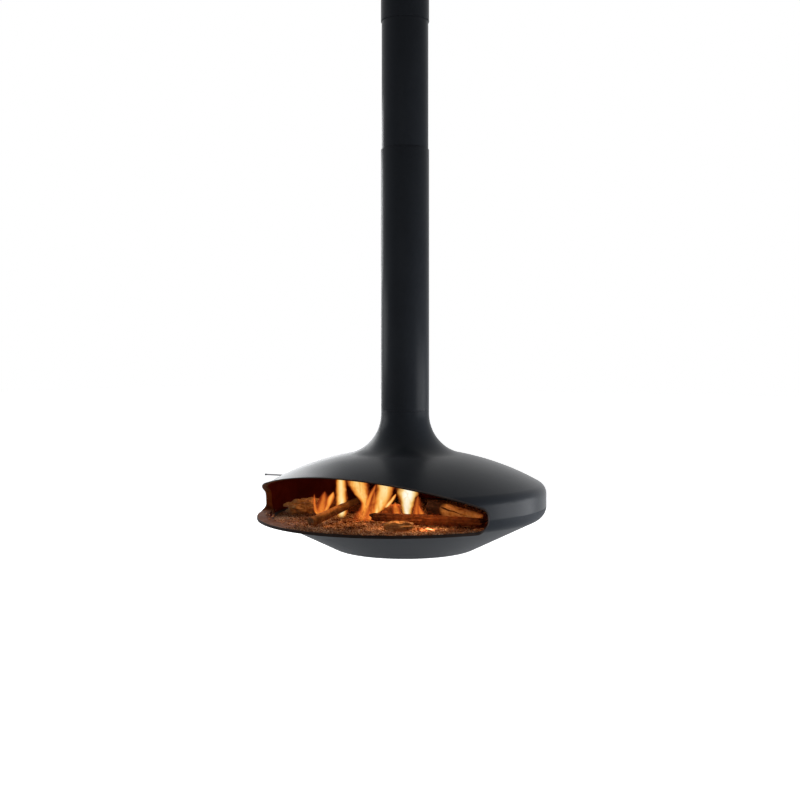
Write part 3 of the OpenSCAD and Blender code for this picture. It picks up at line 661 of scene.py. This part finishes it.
def mouth_stations(top_steps, corner_steps, low_steps):
    """Stations round the mouth: (along, height, share from lip to ledge, outward normal along and up)."""
    u = 1 - MOUTH_TOP_CORNER / MOUTH_W
    slope = -MOUTH_FALL * (2 * (1 - MOUTH_LATE_FALL) * u + 4 * MOUTH_LATE_FALL * u ** 3) / MOUTH_W
    corner_z = mouth_top_z(u) + slope * MOUTH_TOP_CORNER
    top_corner = ((MOUTH_W - MOUTH_TOP_CORNER, mouth_top_z(u)), (MOUTH_W, corner_z),
                  (MOUTH_W, corner_z - MOUTH_TOP_CORNER))
    low_corner = ((MOUTH_W, MOUTH_LOW_CORNER - MOUTH_BOTTOM), (MOUTH_W, -MOUTH_BOTTOM),
                  (MOUTH_W - MOUTH_LOW_CORNER, -MOUTH_BOTTOM))
    half = [(MOUTH_W * u * i / top_steps, mouth_top_z(u * i / top_steps), 0.0) for i in range(top_steps)]
    half += [(*bend(top_corner, i / corner_steps), 0.0) for i in range(corner_steps + 1)]
    half += [(*bend(low_corner, i / corner_steps), min(1, LEDGE_ONSET * i / corner_steps) ** LEDGE_EASE)
             for i in range(corner_steps + 1)]
    half += [(low_corner[2][0] * (1 - i / low_steps), -MOUTH_BOTTOM, 1.0) for i in range(1, low_steps + 1)]
    loop = half + [(-t, z, s) for t, z, s in half[-2:0:-1]]
    stations = []
    for i, (t, z, s) in enumerate(loop):
        a, b = loop[i - 1], loop[(i + 1) % len(loop)]
        dt, dz = b[0] - a[0], b[1] - a[1]
        length = math.hypot(dt, dz)
        stations.append((t, z, s, -dz / length, dt / length))
    return stations


def lip_reach(t, share):
    ledge = LEDGE_REACH + LEDGE_BULGE * math.cos(math.pi / 2 * min(1, abs(t) / MOUTH_W)) ** 2
    return swell(LIP_REACH, ledge, share)


MOUTH = mouth_stations(96, 24, 56)


def nearest(rows, r, z):
    return min(rows, key=lambda row: (row[0] - r) ** 2 + (row[1] - z) ** 2)


def surface_normals(mesh, outer, inner):
    """Gives faces that lie on a turned profile its true normals, and the cut faces flat ones."""
    least_agreement, widest_gap, tiny = 0.93, 0.03, 1e-9
    paths = []
    for path, side in ((outer, 1.0), (inner, -1.0)):
        rows = []
        for i, (r, z) in enumerate(path):
            dr, dz, length = across(path, i)
            rows.append((r, z, -dz / length * side, dr / length * side))
        paths.append(rows)
    normals = [None] * len(mesh.loops)
    slots = [0] * len(mesh.polygons)
    for poly in mesh.polygons:
        middle = poly.center
        radius, height = math.hypot(middle.x, middle.y), middle.z - RIM_Z
        outwards = (poly.normal.x * middle.x + poly.normal.y * middle.y) / max(radius, tiny)
        chosen = None
        for index, rows in enumerate(paths):
            near = nearest(rows, radius, height)
            agree = outwards * near[2] + poly.normal.z * near[3]
            if agree > least_agreement and math.hypot(near[0] - radius, near[1] - height) < widest_gap:
                chosen = index
                break
        slots[poly.index] = 1 if chosen == 1 else 0
        for loop_index in poly.loop_indices:
            if chosen is None:
                normals[loop_index] = tuple(poly.normal)
                continue
            at = mesh.vertices[mesh.loops[loop_index].vertex_index].co
            r = max(math.hypot(at.x, at.y), tiny)
            near = nearest(paths[chosen], r, at.z - RIM_Z)
            normals[loop_index] = (near[2] * at.x / r, near[2] * at.y / r, near[3])
    mesh.polygons.foreach_set("material_index", slots)
    mesh.normals_split_custom_set(normals)


def mouth_cutter():
    """A prism from inside the hood to well in front of it, in the outline of the mouth on the lip."""
    grow = LIP_T * HOOD_ON_LIP
    outline = []
    for t, z, _, nt, nz in mouth_stations(60, 16, 24):
        angle = t / RIM_R
        outline.append((body_r(z) * math.sin(angle) + grow * nt * math.cos(angle), z + grow * nz))
    points = [(x, y, z + RIM_Z) for y in (-0.150, -RIM_R - 0.1) for x, z in outline]
    n = len(outline)
    faces = [tuple(range(n)), tuple(reversed(range(n, 2 * n)))]
    faces += [(j, n + j, n + (j + 1) % n, (j + 1) % n) for j in range(n)]
    cutter = new_object("cutter", points, faces, [], None)
    fix_normals(cutter)
    return cutter


def cut_shell(name, node, closed_path, outer, inner, paint):
    """A turned shell with the mouth cut out of it."""
    verts, faces = revolve(closed_path, SHELL_STEPS)
    shell = new_object(name, [(x, y, z + RIM_Z) for x, y, z in verts], faces, [paint, SOOT_FIRELIT], None)
    fix_normals(shell)
    cutter = mouth_cutter()
    cut = shell.modifiers.new("mouth", "BOOLEAN")
    cut.operation = "DIFFERENCE"
    cut.solver = "EXACT"
    cut.object = cutter
    made = bpy.data.meshes.new_from_object(shell.evaluated_get(bpy.context.evaluated_depsgraph_get()))
    shell.modifiers.clear()
    shell.data = made
    bpy.data.objects.remove(cutter)
    made.polygons.foreach_set("use_smooth", [True] * len(made.polygons))
    surface_normals(made, outer, inner)
    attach(shell, "hearth")
    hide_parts(node)


def make_hood():
    top = [(FLUE_R - COLLAR_EDGE, COLLAR_TOP), (FLUE_R, COLLAR_TOP - COLLAR_EDGE)]
    closed = top + HOOD_OUTER[1:] + HOOD_INNER[::-1]
    cut_shell("hood_shell_spun", "hood_shell", closed, HOOD_OUTER, HOOD_INNER, PAINT)


def make_pan():
    floor_z = PAN_OUTER[-1][1]
    closed = PAN_OUTER + [(AXIS_GAP, floor_z), (AXIS_GAP, floor_z + SHELL_T)] + PAN_INNER[::-1]
    cut_shell("lower_pan_spun", "lower_pan", closed, PAN_OUTER + [(0.0, floor_z)],
              PAN_INNER + [(0.0, floor_z + SHELL_T)], UNDERSIDE)


def ledge_ash(angle):
    """Ash lies on the ledge in one stretch left of its middle, with a thin film elsewhere."""
    return 0.05 + 0.95 * smooth_step((-angle - 0.06) / 0.12) * (1 - smooth_step((-angle - 0.40) / 0.16))


def lip_forward(angle):
    """The way that the lip runs: mostly straight forward, and splayed a little with the hood."""
    x, y = polar(LIP_SPLAY, angle)
    return Vector((x, y - (1 - LIP_SPLAY), 0)).normalized()


def make_lip():
    """The flared lip: a folded strip that runs round the mouth and follows the hood."""
    ash_depth = 0.003
    verts, marks = [], []
    for t, z, share, nt, nz in MOUTH:
        angle = t / RIM_R
        base = Vector((*polar(body_r(z), angle), z + RIM_Z))
        forward = lip_forward(angle)
        outward = Vector((nt * math.cos(angle), nt * math.sin(angle), nz))
        reach = lip_reach(t, share)
        hem = swell(LIP_T + LIP_BEAD, LIP_HEM, share)
        section = rounded_path([(-LIP_TUCK, 0, 0), (reach, 0, 0.0018), (reach, hem, 0.0016),
                                (reach - LIP_T, hem, 0.0012), (reach - LIP_T, LIP_T, 0.0003),
                                (-LIP_TUCK, LIP_T, 0)], 3)
        for u, v in section:
            verts.append(base + u * forward + v * outward)
            marks.append((share * smooth_step(1 - v / ash_depth) * ledge_ash(angle),))
    sides = len(section)
    faces = grid_faces(len(MOUTH), sides, closed=True)
    inner_faces = [1 if k % sides in (0, sides - 1) else 0 for k in range(len(faces))]
    lip = new_object("mouth_lip_flared", verts, faces, [FIRELIT_LIP, LEDGE], "hearth", face_slots=inner_faces)
    store(lip, ("ash",), marks)
    fix_normals(lip, weld=False)
    sharpen(lip, 35)
    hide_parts("mouth_lip")


make_hood()
make_pan()
make_lip()


# ---- flue tubes with softened edges ----
def make_tube(name, node, wall, edge):
    low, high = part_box(node)
    r_out, r_in = high.x, high.x - wall
    corners = ((r_out, low.z), (r_out, high.z), (r_in, high.z), (r_in, low.z))
    verts, faces = revolve(rounded_path([(r, z, edge) for r, z in corners], 2), TUBE_STEPS)
    tube = new_object(name, verts, faces, [PAINT, SOOT_FIRELIT], "hearth")
    fix_normals(tube)
    painted_from = r_in + 0.4 * (r_out - r_in)
    slots = [1 if math.hypot(p.center.x, p.center.y) < painted_from else 0 for p in tube.data.polygons]
    tube.data.polygons.foreach_set("material_index", slots)
    sharpen(tube, 40)
    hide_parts(node)


make_tube("lower_flue_tube", "lower_flue", 0.003, 0.0016)
make_tube("upper_flue_tube", "upper_flue", 0.003, 0.0012)


# ---- fire: bed, logs and flames ----
BED_R = look_up(BED_EDGE_Z, PAN_IN_HEIGHTS) - BED_EDGE_GAP
# Hot spots of the bed: x, y, reach and heat
HOT_SPOTS = ((0.115, -0.163, 0.16, 0.9), (0.327, -0.318, 0.055, 1.5), (0.204, -0.303, 0.035, 1.2),
             (-0.03, -0.25, 0.09, 0.5))


def bed_z(x, y):
    return BED_EDGE_Z + BED_CROWN * math.cos(math.pi / 2 * min(1.0, math.hypot(x, y) / BED_R))


def drift(point, scale, seed=0.0):
    """Smooth noise between -1 and 1 at a place."""
    return noise.noise(Vector(point) * scale + Vector((seed, seed * 1.7, seed * 0.6)))


def bed_height(x, y):
    """The bumpy top of the bed, a little under the line that the logs lie on."""
    edge = smooth_step((BED_R - math.hypot(x, y)) / 0.03)
    return bed_z(x, y) - 0.003 + edge * (0.004 * drift((x, y, 0), 14) + 0.0022 * drift((x, y, 1), 55))


def bed_marks(x, y):
    """Tone, glow and ash of the bed at a place; the tone darkens towards the back, under the hood, as painted
    shade.
    """
    painted_back_shade = smooth_step((y + 0.05) / 0.35)
    tone = (0.38 + 0.30 * drift((x, y, 2), 9)) * lerp(1.0, 0.25, painted_back_shade)
    ash = smooth_step((-x - 0.18) / 0.1) * smooth_step((0.42 + x) / 0.06) * smooth_step((-y - 0.40) / 0.08)
    heat = sum(max(0.0, 1 - math.hypot(x - hx, y - hy) / size) * hot for hx, hy, size, hot in HOT_SPOTS)
    glow = heat * smooth_step(0.5 + 2.0 * drift((x, y, 3), 26))
    return tone, glow, ash


def make_bed():
    """The bumpy ground of the bed, closed by a skirt and a bottom."""
    rings, steps = 84, 220
    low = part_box("ember_bed")[0].z
    floor_r = look_up(low - RIM_Z, PAN_IN_HEIGHTS) - BED_EDGE_GAP
    angles = [2 * math.pi * j / steps for j in range(steps)]
    ground = [polar(BED_R * (1 - i / rings), a) for i in range(rings) for a in angles] + [(0, 0)]
    verts = [(*polar(floor_r, a), low) for a in angles]
    verts += [(x, y, bed_height(x, y) + RIM_Z) for x, y in ground]
    marks = [(0.1, 0.0, 0.0)] * steps + [bed_marks(x, y) for x, y in ground]
    last = rings * steps
    faces = grid_faces(rings + 1, steps)
    faces.append(tuple(range(steps)))
    faces += [(last + j, len(verts) - 1, last + (j + 1) % steps) for j in range(steps)]
    bed = new_object("ember_bed_ground", verts, faces, [EMBERS], "hearth")
    store(bed, BED_MARKS, marks)
    fix_normals(bed)
    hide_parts("ember_bed")


def chip_places(rng):
    """Where chips lie on the bed and on the ledge: x, y, height, the largest size that fits, and marks."""
    places = []
    for _ in range(BED_CHIPS):
        r, a = BED_R * 0.985 * math.sqrt(rng.random()), rng.uniform(-math.pi, math.pi)
        x, y = polar(r, a)
        covered = (x + 0.498 + 0.5235 * (y + 0.2155)) / 0.06 + 0.5 * drift((x, y, 4), 12)
        if rng.random() > smooth_step(covered):
            continue
        places.append((x, y, bed_height(x, y), 0.5 * (BED_R - r) + 0.004, bed_marks(x, y)))
    top = -MOUTH_BOTTOM
    for _ in range(LEDGE_CHIPS):
        t = rng.uniform(-MOUTH_W + MOUTH_LOW_CORNER, MOUTH_W - MOUTH_LOW_CORNER * 0.5)
        angle = t / RIM_R
        out = rng.uniform(-0.035, lip_reach(t, 1.0) - 0.0072)
        x, y = Vector(polar(body_r(top), angle)) + out * lip_forward(angle).xy
        bare = smooth_step((-angle - 0.11) / 0.13) * (0.94 + 0.06 * smooth_step(out / 0.02))
        if rng.random() < bare:
            continue
        tone, glow, ash = bed_marks(x, y)
        places.append((x, y, top, 0.006, (tone * 1.05, glow, ash)))
    return places


def make_chips():
    """Thousands of loose crumbs and chips: small boxes with their corners moved at random."""
    rng = random.Random(CHIP_SEED)
    verts, faces, marks = [], [], []
    for x, y, z, room, (tone, glow, ash) in chip_places(rng):
        size = rng.uniform(0.004, 0.0075) if rng.random() < 0.93 else rng.uniform(0.009, 0.014)
        size = min(size, room)
        turn = Matrix.Rotation(rng.uniform(0, 2 * math.pi), 3, "Z")
        turn = turn @ Matrix.Rotation(rng.uniform(-0.5, 0.5), 3, "X")
        shape = Vector([size * rng.uniform(*span) for span in ((0.7, 1.25), (0.6, 1.0), (0.4, 0.8))])
        centre = Vector((x, y, z + RIM_Z + 0.3 * shape.z))
        # the tone passed on here includes the painted shade towards the back of the bed
        own = tone * rng.uniform(0.45, 1.5)
        hot = glow * rng.uniform(0.2, 1.3) if rng.random() < 0.6 else 0.0
        faces += [tuple(len(verts) + k for k in quad) for quad in BOX_FACES]
        for cx, cy, cz in product((-1, 1), repeat=3):
            corner = Vector((cx * shape.x, cy * shape.y, cz * shape.z)) * rng.uniform(0.55, 1.1) / 1.6
            verts.append(centre + turn @ corner)
            marks.append((own, hot, ash * rng.uniform(0.3, 1.0)))
    chips = new_object("ember_chips", verts, faces, [EMBERS], "hearth", smooth=False)
    store(chips, BED_MARKS, marks)


def log_line(end_a, end_b, rise, seed):
    """A log's length and direction, and the function that places a point round its bowed middle line."""
    p0 = Vector((end_a[0] * BED_R, end_a[1] * BED_R, 0))
    p1 = Vector((end_b[0] * BED_R, end_b[1] * BED_R, rise * LOG_R))
    axis = (p1 - p0).normalized()
    side = Vector((0, 0, 1)).cross(axis).normalized()
    up = axis.cross(side)

    def place(t, a, r):
        bow = LOG_R / 10 * math.sin(math.radians(180 * t + seed))
        return p0 + t * (p1 - p0) + (r * math.cos(a) + bow) * side + r * math.sin(a) * up

    return (p1 - p0).length, axis, place


def plain_log_points(place, r0, r1, seed):
    """The plain log of the part's source, to learn how high it is lifted onto the bed."""
    for i in range(7):
        t = i / 6
        for j in range(9):
            a = math.radians(40 * j + 10 * math.sin(math.radians(seed * 7 + 90 * i)))
            rough = (1 + 0.10 * math.sin(3 * a + math.radians(seed * 13))
                     + 0.06 * math.sin(2 * a + math.radians(97 * i + seed)))
            yield place(t, a, lerp(r0, r1, t) * rough)


def make_log(node, end_a, end_b, rise, shares, seed, material, char, glow=0.3, ragged=0.0, crack=None):
    """A log with furrowed bark on the line of the plain one.

    Ends are in shares of the bed's radius, rise and shares (the radius at each end) in shares of LOG_R.
    Char is how burnt each end is. A crack runs from t0 to t1 along the log, at angles a0 to a1.
    """
    r0, r1 = (share * LOG_R for share in shares)
    length, axis, place = log_line(end_a, end_b, rise, seed)
    lift = max(bed_z(p.x, p.y) - p.z for p in plain_log_points(place, r0, r1, seed)) + 0.0003
    raised = Vector((0, 0, lift + RIM_Z))
    steps, around = max(28, int(length / 0.0042)), 84
    verts, marks = [], []

    def in_crack(t, a):
        """How deep in the crack a place is."""
        if crack is None:
            return 0.0
        t0, t1, a0, a1 = crack
        line = lerp(a0, a1, (t - t0) / (t1 - t0)) + 0.12 * drift((t * 9, 0, seed), 1.0)
        ends = smooth_step((t - t0) / 0.08) * smooth_step((t1 - t) / 0.08)
        return ends * (1 - smooth_step(abs((a - line + math.pi) % (2 * math.pi) - math.pi) / 0.13))

    def skin_point(t, a, inner):
        x, y, along = math.cos(a), math.sin(a), t * length
        round_place = (x * 1.3, y * 1.3, along * 9)
        ridge = abs(drift((x * 4.2, y * 4.2, along * 7), 1.9, seed))
        rough = (1 + 0.09 * math.sin(3 * a + math.radians(seed * 13))
                 + 0.07 * drift(round_place, 1.0, seed + 5)
                 - 0.14 * (0.35 - min(0.35, ridge)) + 0.03 * drift(round_place, 9.0, seed))
        if ragged:
            flat = drift((x * 1.1, y * 1.1, t * 1.6), 1.6, seed + 9)
            rough *= 1 + ragged * (0.26 * flat + 0.10 * round(2.2 * flat) - 0.10)
            rough *= lerp(1.0, lerp(0.66, 1.0, smooth_step(t / 0.45)), ragged)
            rough *= 1 + 0.24 * ragged * drift((x * 2.2, y * 2.2, along * 30), 1.5, seed + 3)
        rough *= 1 - 0.10 * in_crack(t, a)
        return place(t, a, lerp(r0, r1, t) * (rough * inner)) + raised

    def add_ring(t, inner, end):
        """One ring of points; end is 1 on the cut ends and 0 on the bark."""
        for j in range(around):
            a = 2 * math.pi * j / around
            x, y = math.cos(a) * inner, math.sin(a) * inner
            shift = 0.0035 * drift((x * 3, y * 3, t), 2.5, seed) if end else 0.0
            shift += ragged * 0.05 * drift((x, y, seed), 1.4) * (1 - 2 * t)
            point = skin_point(t, a, inner) + axis * shift
            under = smooth_step(-math.sin(a))
            burnt = lerp(*char, t) + 0.25 * under + 0.12 * end + 1.6 * in_crack(t, a)
            from_fire = (point - Vector((0.1, -0.2, point.z))).length
            verts.append(point)
            marks.append((t, inner, end, max(0.0, burnt), max(0.0, glow * under * (1 - from_fire / 0.5))))

    for inner in END_RINGS:
        add_ring(0.0, inner, 1.0)
    for i in range(steps + 1):
        t = i / steps
        add_ring(t, 1 - 0.05 * (1 - smooth_step(min(t, 1 - t) * length / 0.006)), 0.0)
    for inner in reversed(END_RINGS):
        add_ring(1.0, inner, 1.0)
    rings = len(verts) // around
    faces = grid_faces(rings, around)
    faces.append(tuple(range(around)))
    faces.append(tuple((rings - 1) * around + j for j in reversed(range(around))))
    log = new_object(node + "_wood", verts, faces, [material], "hearth")
    store(log, ("along", "core", "end", "char", "glow"), marks)
    fix_normals(log, weld=False)
    sharpen(log, 50)
    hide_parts(node)


def make_logs():
    make_log("log_front_stick", (-0.206, -0.89), (-0.2, -0.26), 1.55, (0.48, 0.40), 1, BARK,
             char=(0.0, 0.55))
    make_log("log_left_chunk", (-0.66, -0.585), (-0.49, -0.485), 0.4, (0.95, 0.75), 2, OCHRE_WOOD,
             char=(0.0, 0.1), ragged=1.0)
    make_log("log_right_round", (0.35, -0.175), (0.83, -0.22), -0.6, (1.0, 0.56), 3, OCHRE_WOOD,
             char=(1.3, -2.2), crack=(0.25, 0.85, 2.55, 3.0))
    make_log("log_long_dark", (0.093, -0.55), (0.873, -0.335), 0, (0.58, 0.42), 4, CHARRED,
             char=(0.25, 0.15), glow=0.12, ragged=0.65)
    make_log("log_back", (-0.5, -0.33), (-0.02, -0.14), 0, (0.66, 0.6), 5, CHARRED,
             char=(0.3, 0.5))
    make_log("log_centre_split", (0.383, -0.803), (0.523, -0.708), 0, (0.6, 0.52), 6, OCHRE_WOOD,
             char=(-0.3, -0.3), glow=0.1, ragged=0.6)
    make_log("log_charred_end", (0.06, -0.41), (0.15, -0.3), 0, (0.8, 0.7), 7, CHARRED,
             char=(0.1, 0.1))


# Each flame: places up its middle line and radii, in millimetres above the rim, and its heat there in percent
FLAMES = [
    [(-151, -270, -45, 13, 70), (-149, -269, -24, 20, 82), (-149, -269, 2, 21, 84),
     (-150, -270, 45, 20, 84), (-151, -270, 86, 19, 86), (-151, -271, 121, 17, 80),
     (-152, -271, 155, 11, 60), (-151, -270, 183, 1, 40)],
    [(-39, -268, -51, 26, 22), (-37, -266, -39, 37, 34), (-35, -265, -16, 28, 40), (-29, -261, 10, 17, 55),
     (-29, -261, 32, 16, 66), (-39, -267, 56, 23, 74), (-48, -274, 83, 29, 78), (-54, -279, 108, 35, 80),
     (-57, -282, 134, 31, 76), (-58, -280, 168, 19, 60), (-55, -279, 189, 2, 40)],
    [(-9, -271, 13, 9, 38), (-5, -269, 38, 11, 42), (4, -263, 65, 10, 38), (15, -255, 92, 7, 30),
     (22, -251, 111, 1, 22)],
    [(35, -290, -32, 3, 52), (42, -286, -14, 10, 66), (53, -278, 10, 19, 74), (63, -271, 36, 24, 78),
     (71, -266, 67, 28, 82), (75, -263, 94, 30, 84), (78, -261, 127, 27, 80), (82, -259, 168, 13, 60),
     (83, -258, 195, 1, 40)],
    [(69, -255, 12, 7, 72), (80, -247, 26, 10, 76), (93, -239, 44, 8, 66), (102, -233, 60, 6, 54),
     (108, -228, 72, 1, 40)],
    [(159, -218, -35, 7, 78), (159, -218, -23, 12, 92), (158, -219, 1, 17, 98), (158, -219, 28, 23, 100),
     (159, -218, 55, 29, 100), (161, -217, 80, 36, 100), (164, -215, 115, 35, 96), (169, -212, 155, 21, 80),
     (172, -210, 196, 2, 50)],
    [(-182, -364, -28, 6, 58), (-191, -370, -21, 10, 62), (-202, -378, -9, 9, 44), (-207, -381, 15, 7, 32),
     (-209, -382, 42, 5, 26), (-210, -383, 68, 1, 18)],
    [(-184, -366, -25, 9, 66), (-172, -357, -9, 9, 58), (-161, -350, 15, 10, 50), (-154, -345, 39, 14, 60),
     (-148, -341, 56, 11, 58), (-141, -337, 76, 1, 34)],
    [(111, -215, -27, 9, 30), (106, -218, -10, 16, 36), (103, -220, 7, 16, 34), (101, -222, 22, 10, 28),
     (99, -222, 36, 1, 20)],
    [(214, -181, -40, 4, 62), (211, -183, -23, 11, 52), (207, -186, -6, 12, 40), (202, -189, 11, 8, 30),
     (199, -192, 28, 1, 20)],
    [(128, -107, -42, 10, 26), (132, -104, -14, 16, 26), (134, -103, 13, 15, 24), (135, -102, 37, 9, 20),
     (136, -101, 54, 1, 14)],
    [(-184, -366, -27, 16, 40), (-185, -362, -4, 25, 37), (-184, -358, 24, 24, 31), (-180, -354, 52, 15, 26),
     (-177, -352, 78, 2, 18)],
    [(-2, -266, -48, 20, 36), (4, -262, -20, 26, 36), (10, -258, 14, 20, 32), (14, -255, 50, 11, 26),
     (16, -254, 84, 2, 18)],
]


def smooth_line(points, steps):
    """A curve through all the points, each a tuple of numbers."""
    out = []
    for i in range(len(points) - 1):
        p = [points[max(0, i - 1)], points[i], points[i + 1], points[min(len(points) - 1, i + 2)]]
        for k in range(steps):
            t = k / steps
            w = (-t / 2 + t ** 2 - t ** 3 / 2, 1 - 2.5 * t ** 2 + 1.5 * t ** 3,
                 t / 2 + 2 * t ** 2 - 1.5 * t ** 3, -t ** 2 / 2 + t ** 3 / 2)
            out.append(tuple(sum(w[n] * p[n][c] for n in range(4)) for c in range(len(points[0]))))
    return out + [tuple(points[-1])]


def make_flames():
    """Tongues of flame: each is one closed tapering loft, cooler along its flanks and towards its tip."""
    around = 28
    broad_side = -math.pi / 2 + CAMERA_TURN
    verts, faces, marks = [], [], []
    for index, line in enumerate(FLAMES):
        curve = smooth_line(line, 10)
        faces += [tuple(len(verts) + k for k in face) for face in grid_faces(len(curve), around)]
        faces.append(tuple(len(verts) + j for j in range(around)))
        for i, (x, y, z, r, hot) in enumerate(curve):
            t = i / (len(curve) - 1)
            root, tip = smooth_step(t / 0.16), smooth_step((1 - t) / 0.12)
            dense = 0.45 + 0.55 * smooth_step((hot - 15) / 50)
            core = hot / 100 + 0.04 - 0.05 * (1 - smooth_step((hot - 84) / 14))
            for j in range(around):
                a = 2 * math.pi * j / around
                ca, sa = math.cos(a), math.sin(a)
                wave = 1 + 0.16 * drift((ca, sa, z / 30), 1.0, index * 3.1)
                lick = 1 + 0.20 * drift((ca * 2, sa * 2, z / 16), 1.0, index)
                radius = FLAME_SPREAD * r * wave * lick / 1000
                verts.append((x / 1000 + radius * ca, y / 1000 + radius * sa, z / 1000 + RIM_Z))
                middle = abs(math.cos(a - broad_side))
                heat = min(1.0, max(0.0, core - 1.15 * (1 - middle) ** 0.85))
                flank = 0.03 + 0.97 * max(0.0, (middle - 0.08) / 0.92) ** 2
                marks.append((heat, root * flank * dense * tip))
        faces.append(tuple(len(verts) - 1 - j for j in range(around)))
    flames = new_object("flames", verts, faces, [FLAME], "hearth")
    store(flames, ("warmth", "veil"), marks)


def fire_light(name, place, power, size, colour=(1.0, 0.50, 0.20)):
    data = bpy.data.lights.new(name, "POINT")
    data.energy = power
    data.shadow_soft_size = size
    data.color = colour
    add_object(name, data).location = (place[0], place[1], place[2] + RIM_Z)


make_bed()
make_chips()
make_logs()
make_flames()
fire_light("fire_main", (0.12, -0.20, 0.12), 3.6, 0.05)
fire_light("fire_left", (-0.12, -0.40, 0.10), 1.45, 0.04, (1.0, 0.48, 0.18))
fire_light("fire_right", (0.32, -0.40, 0.085), 1.7, 0.04)
fire_light("fire_front", (0.25, -0.50, 0.065), 0.2, 0.03)


def give(material, *nodes):
    for name in nodes:
        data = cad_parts[name].data
        data.materials.clear()
        data.materials.append(material)


give(PAINT, "ceiling_sleeve", "ceiling_rose", "rose_screws", "flue_screws", "coupling_screws", "handle_ball")
give(ZINC, "ceiling_plate", "smoke_spigot", "seal_rings", "hanger_studs", "hanger_nuts", "support_ring",
     "pivot_flange", "sleeve_screws", "handle_nut")
give(GROUND_STEEL, "lower_race", "upper_race", "bearing_balls")
give(BRASS, "ball_cage", "spindle_bushes")
give(DARK_ROD, "handle_rod")
give(ROD_STEEL, "damper_spindle", "damper_screws")
give(SOOT_IRON, "flue_coupling", "damper_plate", "damper_lever")
give(ROPE, "rope_seal")
give(BOARD, "insulation_block")
give(FLOOR_IRON, "floor_plate")
